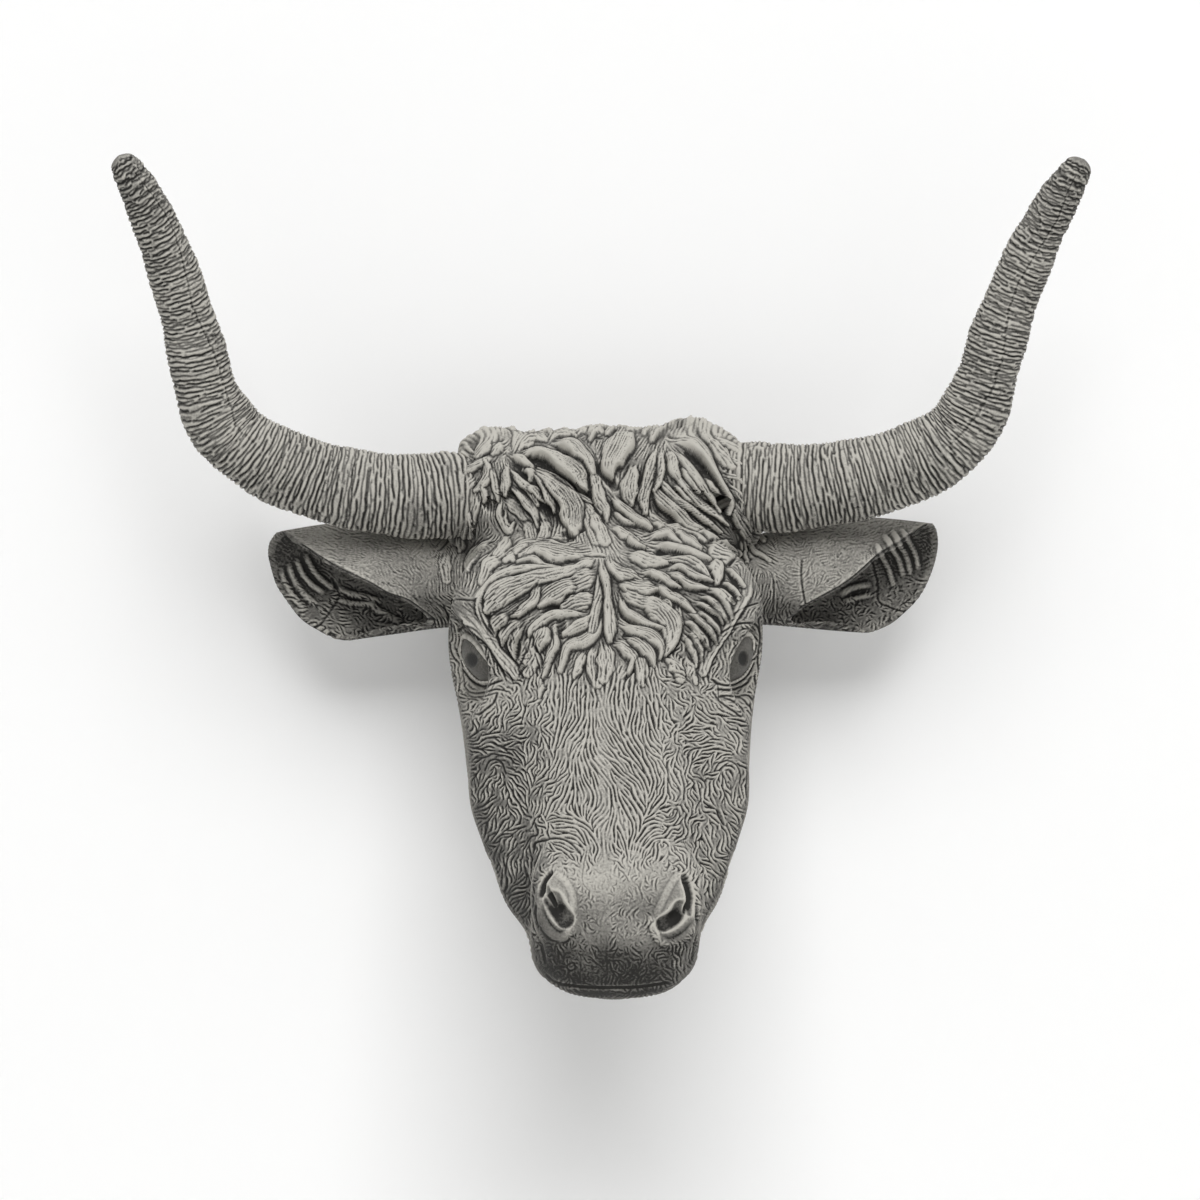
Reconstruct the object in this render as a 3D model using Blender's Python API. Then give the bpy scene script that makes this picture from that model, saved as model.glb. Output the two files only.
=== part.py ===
"""A cast grey stone-effect steer's head with long horns, made to hang on a wall. Metres, +Z up.

The origin is the middle of the flat back. +Y points into the wall, +X is to the viewer's right,
and the face looks out along -Y, tipped forward so that the muzzle stands furthest from the wall.
Most sizes are given in the head's own directions: x across, t down the face from the poll, and
n out of the face.
"""

import math

import bmesh
import bpy
import numpy as np

GAP = 0.0003
SHARP_ANGLE = math.radians(40)

# Driving sizes of the head
FACE_TILT = math.radians(40)
POLL = np.array([0.0, -0.125, 0.125])
MUZZLE_T = 0.400
MUZZLE_N = -0.062
HEAD_START_T = 0.169
MUZZLE_CUT_T = 0.362
THROAT = np.array([0.0, 0.0, -0.200])
NECK_CENTRE_Z = 0.004
NECK_HALF_WIDTH = 0.106
NECK_HALF_HEIGHT = 0.112
NECK_CUT = math.radians(10)
RING_SIDES = 44

EYE = (0.0890, 0.1765, -0.0490)

# Rounded forms of the head: middle, then half sizes, in x, t and n. Those off the middle are mirrored
SKULL_FORM = ((0, 0.098, -0.090), (0.112, 0.112, 0.088))
POLL_FORM = ((0, 0.030, -0.043), (0.116, 0.046, 0.055))
BROW_FORM = ((0.081, 0.142, -0.032), (0.036, 0.050, 0.032))
WING_FORM = ((0.043, 0.413, -0.030), (0.018, 0.034, 0.024))
CHIN_FORM = ((0, 0.404, -0.113), (0.040, 0.038, 0.021))
SOCKET_FORM = ((0.112, 0.182, -0.056), (0.024, 0.036, 0.027))
# Long forms: t, n, half width and half depth at each end, then how square the section is
FACE_FORM = ((0.150, -0.072, 0.090, 0.070), (0.400, -0.052, 0.050, 0.046), 2.5)
CHEEK_FORM = ((0.150, -0.094, 0.116, 0.068), (0.256, -0.092, 0.105, 0.055), 2.8)
JOWL_FORM = ((0.140, -0.140, 0.086, 0.060), (0.340, -0.108, 0.072, 0.042), 2.4)
JAW_FORM = ((0.316, -0.096, 0.084, 0.046), (0.412, -0.089, 0.059, 0.036), 2.7)
MUZZLE_FORM = ((0.398, -0.056, 0.047, 0.052), (0.421, -0.065, 0.051, 0.047), 3.2)
# Core that carries each horn: from and to in the part's own frame, with the radius at each end
CORE_FORM = ((0, -0.108, 0.084), (0.083, -0.120, 0.086), 0.045, 0.041)
NECK_SQUARENESS = 2.3
NECK_REACH = 0.100
# How wide two forms melt into each other
BROAD = 0.030
MIDDLING = 0.025
TIGHT = 0.016

# Directions of the head: down the face, and out of it
DOWN = np.array([0.0, -math.sin(FACE_TILT), -math.cos(FACE_TILT)])
OUT = np.array([0.0, -math.cos(FACE_TILT), math.sin(FACE_TILT)])
ACROSS = np.array([1.0, 0.0, 0.0])

# Horn stations from root to tip: x, y, z of the centre line, and the radius there
LEFT_HORN = (
    (-0.0860, -0.122, 0.083, 0.0345),
    (-0.1170, -0.125, 0.083, 0.0350),
    (-0.1590, -0.1300, 0.0820, 0.0343),
    (-0.2220, -0.1380, 0.0925, 0.0323),
    (-0.2760, -0.1480, 0.1165, 0.0303),
    (-0.3050, -0.1580, 0.1500, 0.0275),
    (-0.3212, -0.1770, 0.2130, 0.0229),
    (-0.3370, -0.195, 0.266, 0.0203),
    (-0.3520, -0.210, 0.303, 0.0170),
    (-0.3610, -0.2180, 0.3200, 0.0142),
    (-0.3655, -0.2215, 0.3275, 0.0114),
)
RIGHT_HORN = (
    (0.0820, -0.122, 0.089, 0.0365),
    (0.1160, -0.125, 0.089, 0.0368),
    (0.1560, -0.1300, 0.0890, 0.0356),
    (0.2140, -0.1380, 0.0985, 0.0334),
    (0.2620, -0.1480, 0.1185, 0.0313),
    (0.2885, -0.1580, 0.1495, 0.0278),
    (0.3070, -0.1770, 0.2140, 0.0236),
    (0.3260, -0.195, 0.268, 0.0205),
    (0.3440, -0.210, 0.305, 0.0173),
    (0.3520, -0.2180, 0.3200, 0.0146),
    (0.3570, -0.2215, 0.3285, 0.0116),
)
HORN_SIDES = 16
HORN_RINGS = 44
# Low swells of the horn between its thicker growth rings
SWELL_STEP = 0.058
SWELL_DEPTH = 0.0013


def clear_scene():
    for thing in list(bpy.data.objects):
        bpy.data.objects.remove(thing)


def material(name, colour, roughness, metallic=0.0):
    made = bpy.data.materials.new(name)
    made.use_nodes = True
    shader = made.node_tree.nodes["Principled BSDF"]
    shader.inputs["Base Color"].default_value = (*colour, 1.0)
    shader.inputs["Roughness"].default_value = roughness
    shader.inputs["Metallic"].default_value = metallic
    return made


# Solids from arrays


def solid(name, points, faces, finish=None, smooth=True):
    """One mesh object, with its faces turned outwards."""
    mesh = bpy.data.meshes.new(name)
    mesh.from_pydata([tuple(p) for p in points], [], [tuple(f) for f in faces])
    work = bmesh.new()
    work.from_mesh(mesh)
    bmesh.ops.recalc_face_normals(work, faces=work.faces)
    bmesh.ops.triangulate(work, faces=work.faces)
    work.to_mesh(mesh)
    work.free()
    made = bpy.data.objects.new(name, mesh)
    bpy.context.scene.collection.objects.link(made)
    if finish is not None:
        mesh.materials.append(finish)
    if smooth:
        mesh.shade_smooth()
        mesh.set_sharp_from_angle(angle=SHARP_ANGLE)
    return made


def tube_faces(rings, sides):
    """Quads between closed rings of points, with the first and last ring filled."""
    faces = []
    for i in range(rings - 1):
        for j in range(sides):
            k = (j + 1) % sides
            faces.append((i * sides + j, i * sides + k, (i + 1) * sides + k, (i + 1) * sides + j))
    faces.append(tuple(range(sides)))
    faces.append(tuple((rings - 1) * sides + j for j in range(sides)))
    return faces


def smooth_line(stations, count):
    """Points on a Catmull-Rom curve through the stations, evenly spaced along it."""
    rows = np.asarray(stations, float)
    ends = np.vstack([2 * rows[0] - rows[1], rows, 2 * rows[-1] - rows[-2]])
    fine = []
    for i in range(len(rows) - 1):
        a, b, c, d = ends[i : i + 4]
        for h in np.linspace(0, 1, 16, endpoint=i == len(rows) - 2):
            fine.append(
                0.5
                * (
                    2 * b
                    + (c - a) * h
                    + (2 * a - 5 * b + 4 * c - d) * h**2
                    + (3 * b - a - 3 * c + d) * h**3
                )
            )
    fine = np.array(fine)
    steps = np.linalg.norm(np.diff(fine[:, :3], axis=0), axis=1)
    along = np.concatenate([[0], np.cumsum(steps)])
    wanted = np.linspace(0, along[-1], count)
    return np.stack([np.interp(wanted, along, column) for column in fine.T], axis=1)


def frames_along(line, first_side):
    """Tangent, side and rise vectors at each point, carried along with no twist."""
    tangents = np.gradient(line, axis=0)
    tangents /= np.linalg.norm(tangents, axis=1)[:, None]
    sides = []
    side = np.asarray(first_side, float)
    for tangent in tangents:
        side = side - tangent * (side @ tangent)
        side = side / np.linalg.norm(side)
        sides.append(side)
    sides = np.array(sides)
    return tangents, sides, np.cross(tangents, sides)


# The head as smooth forms melted together, read as a distance


def melt(a, b, width):
    """The nearer of two distances, rounded over this width where they meet."""
    share = np.clip(0.5 + 0.5 * (b - a) / width, 0, 1)
    return b * (1 - share) + a * share - width * share * (1 - share)


def carve(body, hollow, width):
    """The body less the hollow, with the rim rounded over this width."""
    return -melt(-body, hollow, width)


def egg(x, t, n, centre, radii):
    """Distance to an ellipsoid, close enough near its surface."""
    q = np.stack([x - centre[0], t - centre[1], n - centre[2]])
    r = np.asarray(radii)[:, None]
    near = np.linalg.norm(q / r, axis=0)
    slope = np.linalg.norm(q / r**2, axis=0) + 1e-9
    return near * (near - 1) / slope


def bar(x, t, n, start, end, power=2.4):
    """Distance to a bar with a rounded oblong section. Each end is t, n, half width, half depth."""
    run = np.array([end[0] - start[0], end[1] - start[1]])
    length = np.linalg.norm(run)
    run = run / length
    along = (t - start[0]) * run[0] + (n - start[1]) * run[1]
    share = np.clip(along / length, 0, 1)
    beyond = along - share * length
    lift = -(t - start[0]) * run[1] + (n - start[1]) * run[0]
    wide = start[2] + (end[2] - start[2]) * share
    deep = start[3] + (end[3] - start[3]) * share
    reach = np.sqrt(lift**2 + beyond**2)
    size = ((np.abs(x) / wide) ** power + (reach / deep) ** power) ** (1 / power)
    return (size - 1) * np.minimum(wide, deep)


def to_head(points):
    """x, t and n of points given in the part's own frame."""
    away = points - POLL
    return points[:, 0], away @ DOWN, away @ OUT


def to_part(x, t, n):
    """The part's own frame from x, t and n."""
    x, t, n = (np.asarray(v, float)[..., None] for v in (x, t, n))
    return POLL + x * ACROSS + t * DOWN + n * OUT


def rod(points, start, end, thick, thin):
    """Distance to a round rod that tapers from one radius to the other."""
    run = np.subtract(end, start)
    share = np.clip((points - start) @ run / (run @ run), 0, 1)
    reach = np.linalg.norm(points - start - share[:, None] * run, axis=1)
    return reach - thick - (thin - thick) * share


def head_distance(points):
    """Distance from the skin of the neck, skull, jaws and muzzle; negative inside."""
    x, t, n = to_head(points)
    side = np.abs(x)
    skin = melt(egg(x, t, n, *SKULL_FORM), egg(x, t, n, *POLL_FORM), BROAD)
    skin = melt(skin, egg(side, t, n, *BROW_FORM), BROAD)
    for form in (FACE_FORM, CHEEK_FORM, JOWL_FORM):
        skin = melt(skin, bar(x, t, n, *form), BROAD)
    skin = melt(skin, bar(x, t, n, *JAW_FORM), MIDDLING)
    skin = melt(skin, bar(x, t, n, *MUZZLE_FORM), TIGHT)
    skin = melt(skin, egg(side, t, n, *WING_FORM), TIGHT)
    skin = melt(skin, egg(x, t, n, *CHIN_FORM), TIGHT)
    skin = carve(skin, egg(side, t, n, *SOCKET_FORM), TIGHT)
    folded = np.stack([side, points[:, 1], points[:, 2]], axis=1)
    skin = melt(skin, rod(folded, *CORE_FORM), MIDDLING)
    return melt(skin, neck_distance(points), BROAD)


def neck_distance(points):
    """Distance from the short neck, an oval stub that runs from the wall into the skull."""
    across = np.abs(points[:, 0]) / NECK_HALF_WIDTH
    up = np.abs(points[:, 2] - NECK_CENTRE_Z) / NECK_HALF_HEIGHT
    reach = (across**NECK_SQUARENESS + up**NECK_SQUARENESS) ** (1 / NECK_SQUARENESS)
    return np.maximum((reach - 1) * NECK_HALF_WIDTH, -NECK_REACH - points[:, 1])


def fan(turn, t, lean, shift=0.0):
    """Middle, up and forward directions of one ring of rays through the head.

    From the wall to the brow the rings turn about the throat. From there they move down the
    face, and past the muzzle's middle the rays lean forward until they meet at its front.
    """
    if t <= HEAD_START_T:
        forward = np.array([0.0, -math.cos(turn), -math.sin(turn)])
        up = np.array([0.0, -math.sin(turn), math.cos(turn)])
        middle = THROAT + up * (NECK_CENTRE_Z - THROAT[2])
    else:
        share = (t - HEAD_START_T) / (MUZZLE_T - HEAD_START_T)
        forward, up = DOWN, OUT
        middle = to_part(0.0, t, -0.090 + share * (MUZZLE_N + 0.090))
    return middle + forward * shift, up, forward, lean


def skin_ring(ring, sides):
    """Where the rays of one ring leave the head, found by stepping out and then halving."""
    middle, up, forward, lean = ring
    around = np.arange(sides) * 2 * math.pi / sides
    rays = np.outer(np.cos(around), up) + np.outer(np.sin(around), ACROSS)
    rays = rays * math.cos(lean) + forward * math.sin(lean)
    reach = np.full(sides, 0.004)
    for _ in range(60):
        ahead = head_distance(middle + rays * reach[:, None])
        reach = reach + np.where(ahead < 0, np.maximum(-0.6 * ahead, 0.0005), 0)
    low = reach - 0.004
    high = reach.copy()
    for _ in range(20):
        half = (low + high) / 2
        inside = head_distance(middle + rays * half[:, None]) < 0
        low = np.where(inside, half, low)
        high = np.where(inside, high, half)
    return middle + rays * high[:, None]


def skin_solid(name, rings, finish, pole=False):
    """A closed length of the head between its first and last ring of rays."""
    rows = [skin_ring(ring, RING_SIDES) for ring in rings]
    points = np.concatenate(rows)
    faces = tube_faces(len(rows), RING_SIDES)
    if pole:
        faces = faces[:-1]
        tip = skin_ring((rings[-1][0], rings[-1][1], rings[-1][2], math.pi / 2), 1)
        points = np.concatenate([points, tip])
        last = (len(rows) - 1) * RING_SIDES
        for j in range(RING_SIDES):
            faces.append((last + j, last + (j + 1) % RING_SIDES, len(points) - 1))
    return solid(name, points, faces, finish)


def neck_rings():
    return [fan(turn, 0, 0) for turn in np.linspace(0, NECK_CUT, 4)]


def skull_rings():
    turns = np.linspace(NECK_CUT, math.pi / 2 - FACE_TILT, 14)[:-1]
    bend = [fan(turn, 0, 0, GAP if i == 0 else 0) for i, turn in enumerate(turns)]
    straight = np.linspace(HEAD_START_T + 1e-6, MUZZLE_CUT_T - GAP, 12)
    return bend + [fan(0, t, 0) for t in straight]


def muzzle_rings():
    straight = [fan(0, t, 0) for t in np.linspace(MUZZLE_CUT_T, MUZZLE_T, 5)]
    leans = np.linspace(0, math.pi / 2, 12)[1:-1]
    return straight + [fan(0, MUZZLE_T, lean) for lean in leans]


# Joining and cutting


def bake(target):
    """Applies the modifiers of an object by taking its evaluated mesh."""
    graph = bpy.context.evaluated_depsgraph_get()
    mesh = bpy.data.meshes.new_from_object(target.evaluated_get(graph))
    old = target.data
    target.modifiers.clear()
    target.data = mesh
    mesh.name = target.name
    mesh.shade_smooth()
    mesh.set_sharp_from_angle(angle=SHARP_ANGLE)
    bpy.data.meshes.remove(old)


def boolean(target, others, operation):
    """Joins to, cuts from or keeps in common with the target a collection of closed solids."""
    group = bpy.data.collections.new("helpers")
    for other in others:
        group.objects.link(other)
    modifier = target.modifiers.new("boolean", "BOOLEAN")
    modifier.operation = operation
    modifier.solver = "EXACT"
    modifier.operand_type = "COLLECTION"
    modifier.collection = group
    bpy.context.view_layer.update()
    bake(target)
    bpy.data.collections.remove(group)
    for other in others:
        bpy.data.objects.remove(other)
    keep_largest(target)


def keep_largest(target):
    """Drops every loose scrap but the largest closed surface."""
    work = bmesh.new()
    work.from_mesh(target.data)
    bmesh.ops.triangulate(work, faces=work.faces)
    left = set(work.faces)
    shells = []
    while left:
        seed = left.pop()
        shell = {seed}
        edge_of = [seed]
        while edge_of:
            for edge in edge_of.pop().edges:
                for face in edge.link_faces:
                    if face in left:
                        left.discard(face)
                        shell.add(face)
                        edge_of.append(face)
        shells.append(shell)
    shells.sort(key=lambda shell: -sum(face.calc_area() for face in shell))
    scraps = [face for shell in shells[1:] for face in shell]
    bmesh.ops.delete(work, geom=scraps, context="FACES")
    work.to_mesh(target.data)
    work.free()


# Horns


def horn_solid(name, stations, finish, grow=0.0):
    """A tapering horn swept along its stations, with low swells and a blunt rounded tip."""
    line = smooth_line(stations, HORN_RINGS)
    steps = np.linalg.norm(np.diff(line[:, :3], axis=0), axis=1)
    along = np.concatenate([[0], np.cumsum(steps)])
    dips = SWELL_DEPTH * np.sin(math.pi * along / SWELL_STEP) ** 2
    dips = dips * np.minimum((along[-1] - along) / SWELL_STEP, 1)
    centres, radii = line[:, :3], line[:, 3] - dips + grow
    tangents, sides, rises = frames_along(centres, (0, -1, 0))
    around = np.arange(HORN_SIDES) * 2 * math.pi / HORN_SIDES
    spokes = np.cos(around)[:, None] * sides[:, None] + np.sin(around)[:, None] * rises[:, None]
    rings = list(centres[:, None] + spokes * radii[:, None, None])
    for angle in (30, 55, 75):
        turn = math.radians(angle)
        middle = centres[-1] + tangents[-1] * radii[-1] * 0.8 * math.sin(turn)
        rings.append(middle + spokes[-1] * radii[-1] * math.cos(turn))
    if grow:
        rings[0] = rings[0] - tangents[0] * 0.001
    return solid(name, np.concatenate(rings), tube_faces(len(rings), HORN_SIDES), finish)


# Ears

EAR_ROOT = (0.108, -0.098, 0.014)
EAR_ROOT_HALF_HEIGHT = 0.033
EAR_ROOT_HALF_DEPTH = 0.025
EAR_WALL = 0.0045
EAR_SIDES = 20
EAR_OUTER_RINGS = 8
EAR_INNER_RINGS = 6
# The rim of each ear's cup: from the tip along the folded front edge to the root, and back below
LEFT_EAR_RIM = (
    (-0.2539, -0.0980, 0.0547),
    (-0.2388, -0.1140, 0.0445),
    (-0.2124, -0.1320, 0.0278),
    (-0.1970, -0.1390, 0.0203),
    (-0.1825, -0.1420, 0.0133),
    (-0.1696, -0.1410, 0.0058),
    (-0.1534, -0.1340, -0.0008),
    (-0.1364, -0.1200, -0.0134),
    (-0.1390, -0.1040, -0.0206),
    (-0.1630, -0.0940, -0.0223),
    (-0.1899, -0.0840, -0.0303),
    (-0.2096, -0.0790, -0.0320),
    (-0.2297, -0.0750, -0.0232),
    (-0.2418, -0.0730, -0.0144),
    (-0.2531, -0.0710, 0.0000),
    (-0.2611, -0.0710, 0.0128),
    (-0.2659, -0.0740, 0.0296),
    (-0.2669, -0.0790, 0.0383),
    (-0.2641, -0.0860, 0.0472),
)
RIGHT_EAR_RIM = (
    (0.2586, -0.0980, 0.0608),
    (0.2355, -0.1180, 0.0470),
    (0.2171, -0.1320, 0.0370),
    (0.2021, -0.1390, 0.0244),
    (0.1891, -0.1420, 0.0141),
    (0.1719, -0.1410, 0.0036),
    (0.1553, -0.1340, -0.0055),
    (0.1447, -0.1200, -0.0150),
    (0.1502, -0.1040, -0.0203),
    (0.1704, -0.0940, -0.0192),
    (0.1923, -0.0840, -0.0225),
    (0.2122, -0.0790, -0.0265),
    (0.2310, -0.0750, -0.0201),
    (0.2449, -0.0730, -0.0097),
    (0.2565, -0.0710, 0.0026),
    (0.2642, -0.0710, 0.0169),
    (0.2692, -0.0740, 0.0330),
    (0.2703, -0.0790, 0.0466),
    (0.2670, -0.0860, 0.0578),
)


def closed_line(stations, count):
    """Points on a smooth closed curve through the stations, evenly spaced by station number."""
    rows = np.asarray(stations, float)
    places = np.arange(count) * len(rows) / count
    i = np.floor(places).astype(int)
    h = (places - i)[:, None]
    a, b, c, d = (rows[(i + k) % len(rows)] for k in (-1, 0, 1, 2))
    bend = (2 * a - 5 * b + 4 * c - d) * h**2 + (3 * b - a - 3 * c + d) * h**3
    return 0.5 * (2 * b + (c - a) * h + bend)


def ear_rings(side, grow):
    """Rings of an ear: out along the back from root to rim, then in down the cup."""
    rim = closed_line(LEFT_EAR_RIM if side < 0 else RIGHT_EAR_RIM, EAR_SIDES)
    around = np.arange(EAR_SIDES) * 2 * math.pi / EAR_SIDES
    root = np.stack(
        [
            side * EAR_ROOT[0] + 0 * around,
            EAR_ROOT[1] - np.sin(around) * (EAR_ROOT_HALF_DEPTH + grow),
            EAR_ROOT[2] + np.cos(around) * (EAR_ROOT_HALF_HEIGHT + grow),
        ],
        axis=1,
    )
    bulge = np.maximum(np.cos(around - 0.3), 0)[:, None] * np.array([0.0, 0.004, 0.012])
    bulge = bulge + np.maximum(-np.sin(around), 0)[:, None] * np.array([0.0, 0.014, -0.002])

    def ring(share):
        line = root + (rim - root) * share + bulge * math.sin(math.pi * share)
        away = line - line.mean(axis=0)
        return line + away / np.linalg.norm(away, axis=1)[:, None] * grow * (share > 0)

    outer = [ring(share) for share in np.linspace(0, 1, EAR_OUTER_RINGS)]
    if grow:
        return outer
    inner = []
    for share in np.linspace(1, 0.34, EAR_INNER_RINGS):
        line = ring(share)
        inward = line.mean(axis=0) - line
        reach = np.linalg.norm(inward, axis=1)[:, None]
        wall = EAR_WALL + 0.004 * (1 - share)
        inner.append(line + inward / reach * np.minimum(wall, 0.8 * reach))
    return outer + inner


def ear_solid(name, side, finish, grow=0.0):
    """A cupped ear with a wall of even thickness; side is -1 for the left ear and 1 for the right."""
    rings = ear_rings(side, grow)
    return solid(name, np.concatenate(rings), tube_faces(len(rings), EAR_SIDES), finish)


# Eyes and lids

EYE_LONG = 0.0270
EYE_SHORT = 0.0210
EYE_OUT = 0.0210
EYE_SIDES = 16
EYE_RINGS = 9
EYE_LEAN = math.radians(80)
LID_LONG = math.radians(78)
LID_SHORT = math.radians(44)
LID_RADIUS = 0.0042
LID_STATIONS = 11
LID_SIDES = 6


def eye_axes(side):
    """Outward, lengthways and crossways directions of one eye, in the part's own frame."""
    out = side * 0.74 * ACROSS + 0.42 * DOWN + 0.52 * OUT
    out = out / np.linalg.norm(out)
    long = -side * 0.60 * ACROSS + 0.80 * DOWN
    long = long - out * (long @ out)
    long = long / np.linalg.norm(long)
    return out, long, np.cross(out, long)


def eye_point(side, out, long, cross):
    """A point at these distances from the middle of the eye, along its three directions."""
    axes = eye_axes(side)
    middle = to_part(side * EYE[0], EYE[1], EYE[2])
    return middle + sum(np.asarray(v)[..., None] * axis for v, axis in zip((out, long, cross), axes))


def eye_solid(name, side, finish, grow=0.0):
    """An oval eyeball, built of rings round its lengthways axis."""
    turn = np.arange(EYE_SIDES) * 2 * math.pi / EYE_SIDES
    rings = []
    for lean in np.linspace(-EYE_LEAN, EYE_LEAN, EYE_RINGS):
        rings.append(
            eye_point(
                side,
                (EYE_OUT + grow) * math.cos(lean) * np.cos(turn),
                (EYE_LONG + grow) * math.sin(lean) * np.ones(EYE_SIDES),
                (EYE_SHORT + grow) * math.cos(lean) * np.sin(turn),
            )
        )
    return solid(name, np.concatenate(rings), tube_faces(EYE_RINGS, EYE_SIDES), finish)


def lid_tube(side, upper):
    """A lid as a bent roll along one edge of the almond-shaped opening, with its ends sunk in."""
    share = np.linspace(-1, 1, LID_STATIONS)
    lean = share * LID_LONG
    open_by = LID_SHORT * np.cos(share * math.pi / 2) ** 0.8 * (1 if upper else -0.85)
    lift = 0.0030 - 0.008 * np.abs(share) ** 6
    centres = eye_point(
        side,
        (EYE_OUT + lift) * np.cos(lean) * np.cos(open_by),
        (EYE_LONG + lift) * np.sin(lean),
        (EYE_SHORT + lift) * np.cos(lean) * np.sin(open_by),
    )
    return tube_solid("lid", centres, LID_RADIUS * (1 - 0.25 * share**2), LID_SIDES)


def tube_solid(name, centres, radii, sides):
    """A closed round tube along a line of points."""
    _, side_ways, rises = frames_along(centres, (0.3, -1, 0.2))
    around = np.arange(sides) * 2 * math.pi / sides
    spokes = np.cos(around)[:, None] * side_ways[:, None] + np.sin(around)[:, None] * rises[:, None]
    rings = centres[:, None] + spokes * np.asarray(radii)[:, None, None]
    return solid(name, rings.reshape(-1, 3), tube_faces(len(centres), sides))


# Nostrils

NOSTRIL_RINGS = 8
NOSTRIL_SIDES = 8
# Stations of the comma-shaped hollow: x, t, n and radius, from the slit to the hole and inwards
NOSTRIL = (
    (0.0510, 0.406, -0.0090, 0.0025),
    (0.0490, 0.420, -0.0110, 0.0048),
    (0.0440, 0.433, -0.0150, 0.0080),
    (0.0385, 0.441, -0.0220, 0.0092),
    (0.0345, 0.436, -0.0310, 0.0085),
    (0.0320, 0.426, -0.0380, 0.0070),
)
# The raised outer rim of the nostril
NOSTRIL_RIM = (
    (0.0560, 0.402, -0.0160, 0.0030),
    (0.0565, 0.420, -0.0160, 0.0048),
    (0.0545, 0.436, -0.0240, 0.0054),
    (0.0480, 0.4465, -0.0310, 0.0052),
    (0.0360, 0.4500, -0.0310, 0.0044),
    (0.0240, 0.4510, -0.0330, 0.0025),
)


def nostril_tube(name, stations, side):
    """A tapered tube through stations given in the head's own directions."""
    line = smooth_line(stations, NOSTRIL_RINGS)
    centres = to_part(side * line[:, 0], line[:, 1], line[:, 2])
    return tube_solid(name, centres, line[:, 3], NOSTRIL_SIDES)


# Forelock

# Main locks, as they were laid: x, t and half width from root to tip, then height, all in mm
MAIN_LOCKS = (
    (((-74, 52, 0.9), (-65, 61, 2.6), (-57, 70, 2.7), (-53, 81, 1)), 6),
    (((-56, 43, 1.2), (-49, 53, 2.3), (-44, 62, 3.1), (-40, 72, 0.9)), 6.5),
    (((-55, 43, 1.4), (-40, 55, 4.9), (-28, 69, 7.8), (-26, 90, 3.7)), 8),
    (((-69, 26, 1.4), (-47, 28, 3.3), (-28, 41, 6.1), (-15, 58, 1.2)), 8.5),
    (((-7, 50, 2.1), (-7, 61, 3.9), (-2, 71, 3.4), (0, 83, 1)), 5.5),
    (((42, 87, 2.4), (54, 83, 4.2), (66, 84, 3.7), (76, 92, 1.7)), 5),
    (((21, 38, 1.8), (20, 49, 4.5), (18, 59, 5.8), (19, 68, 2.2)), 6.5),
    (((37, 57, 1.7), (50, 67, 4.1), (63, 76, 3.8), (78, 84, 2)), 6.5),
    (((40, 48, 1), (54, 61, 2.7), (71, 70, 2.4), (88, 76, 1.3)), 6),
    (((54, 46, 1.2), (66, 58, 2.8), (80, 66, 2.6), (94, 70, 1.2)), 6),
    (((4, 62, 1.3), (12, 72, 3.4), (23, 79, 3.5), (34, 88, 1.7)), 7),
    (((-17, 117, 1.6), (-34, 116, 5.4), (-51, 111, 4.6), (-67, 117, 1.6)), 5),
    (((-10, 140, 3.1), (-18, 144, 5.8), (-26, 148, 6.2), (-33, 154, 4.7)), 4.5),
    (((-25, 146, 3.9), (-35, 151, 6.5), (-44, 156, 7.1), (-53, 163, 3.9)), 5),
    (((-89, 181, 0.9), (-95, 154, 2.5), (-69, 137, 2.3), (-38, 134, 1.2)), 6),
    (((-18, 131, 1.9), (-44, 141, 4.1), (-71, 151, 6.7), (-93, 168, 2.7)), 6.5),
    (((-43, 190, 1.6), (-42, 204, 3.6), (-47, 216, 2.4), (-51, 229, 0.8)), 5.5),
    (((-19, 176, 1.6), (-35, 175, 2.5), (-50, 180, 3.1), (-61, 190, 0.9)), 6),
    (((-50, 184, 1.6), (-50, 191, 5.6), (-52, 197, 4.5), (-53, 204, 0.8)), 7),
    (((-8, 178, 1.6), (-16, 196, 4.3), (-31, 206, 3.5), (-38, 226, 1.9)), 5.5),
    (((-10, 167, 1.1), (-14, 180, 2.7), (-24, 188, 3.4), (-35, 193, 1.6)), 7),
    (((43, 133, 1.3), (56, 132, 2.6), (66, 141, 2.7), (78, 146, 0.9)), 6),
    (((15, 118, 1.7), (24, 123, 4), (34, 127, 3.4), (45, 127, 1)), 6),
    (((0, 123, 1.7), (5, 135, 4.3), (14, 141, 4.9), (24, 144, 1.4)), 6),
    (((7, 147, 1.7), (16, 151, 4.6), (26, 152, 5.3), (36, 152, 1.7)), 6),
    (((10, 195, 1.3), (19, 202, 4.7), (28, 210, 4.3), (32, 222, 1)), 6),
    (((8, 185, 1.7), (21, 192, 4.3), (34, 199, 4.5), (36, 215, 1)), 6.5),
    (((21, 163, 2.1), (37, 173, 6.8), (45, 190, 6.3), (41, 211, 1)), 8),
    (((8, 159, 1.2), (14, 174, 3), (26, 182, 2.9), (39, 188, 1.2)), 6.5),
    (((-6, 126, 1.2), (-2, 152, 2.8), (-1, 175, 3.8), (0, 201, 2)), 7),
)
# Row of locks along the top, between the horns
CREST_T = -0.008
CREST_LOCKS = 8
CREST_HALF_WIDTH = 0.084
CREST_LENGTH = 0.058
LOCK_WIDTH = 0.0120
LOCK_HEIGHT = 0.0065
LOCK_RINGS = 5


def face_height(x, t):
    """n of the skin straight out from each x, t on the forehead."""
    low = np.full(np.shape(x), -0.090)
    high = np.full(np.shape(x), 0.060)
    for _ in range(24):
        half = (low + high) / 2
        inside = head_distance(to_part(x, t, half)) < 0
        low = np.where(inside, half, low)
        high = np.where(inside, high, half)
    return high


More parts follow.
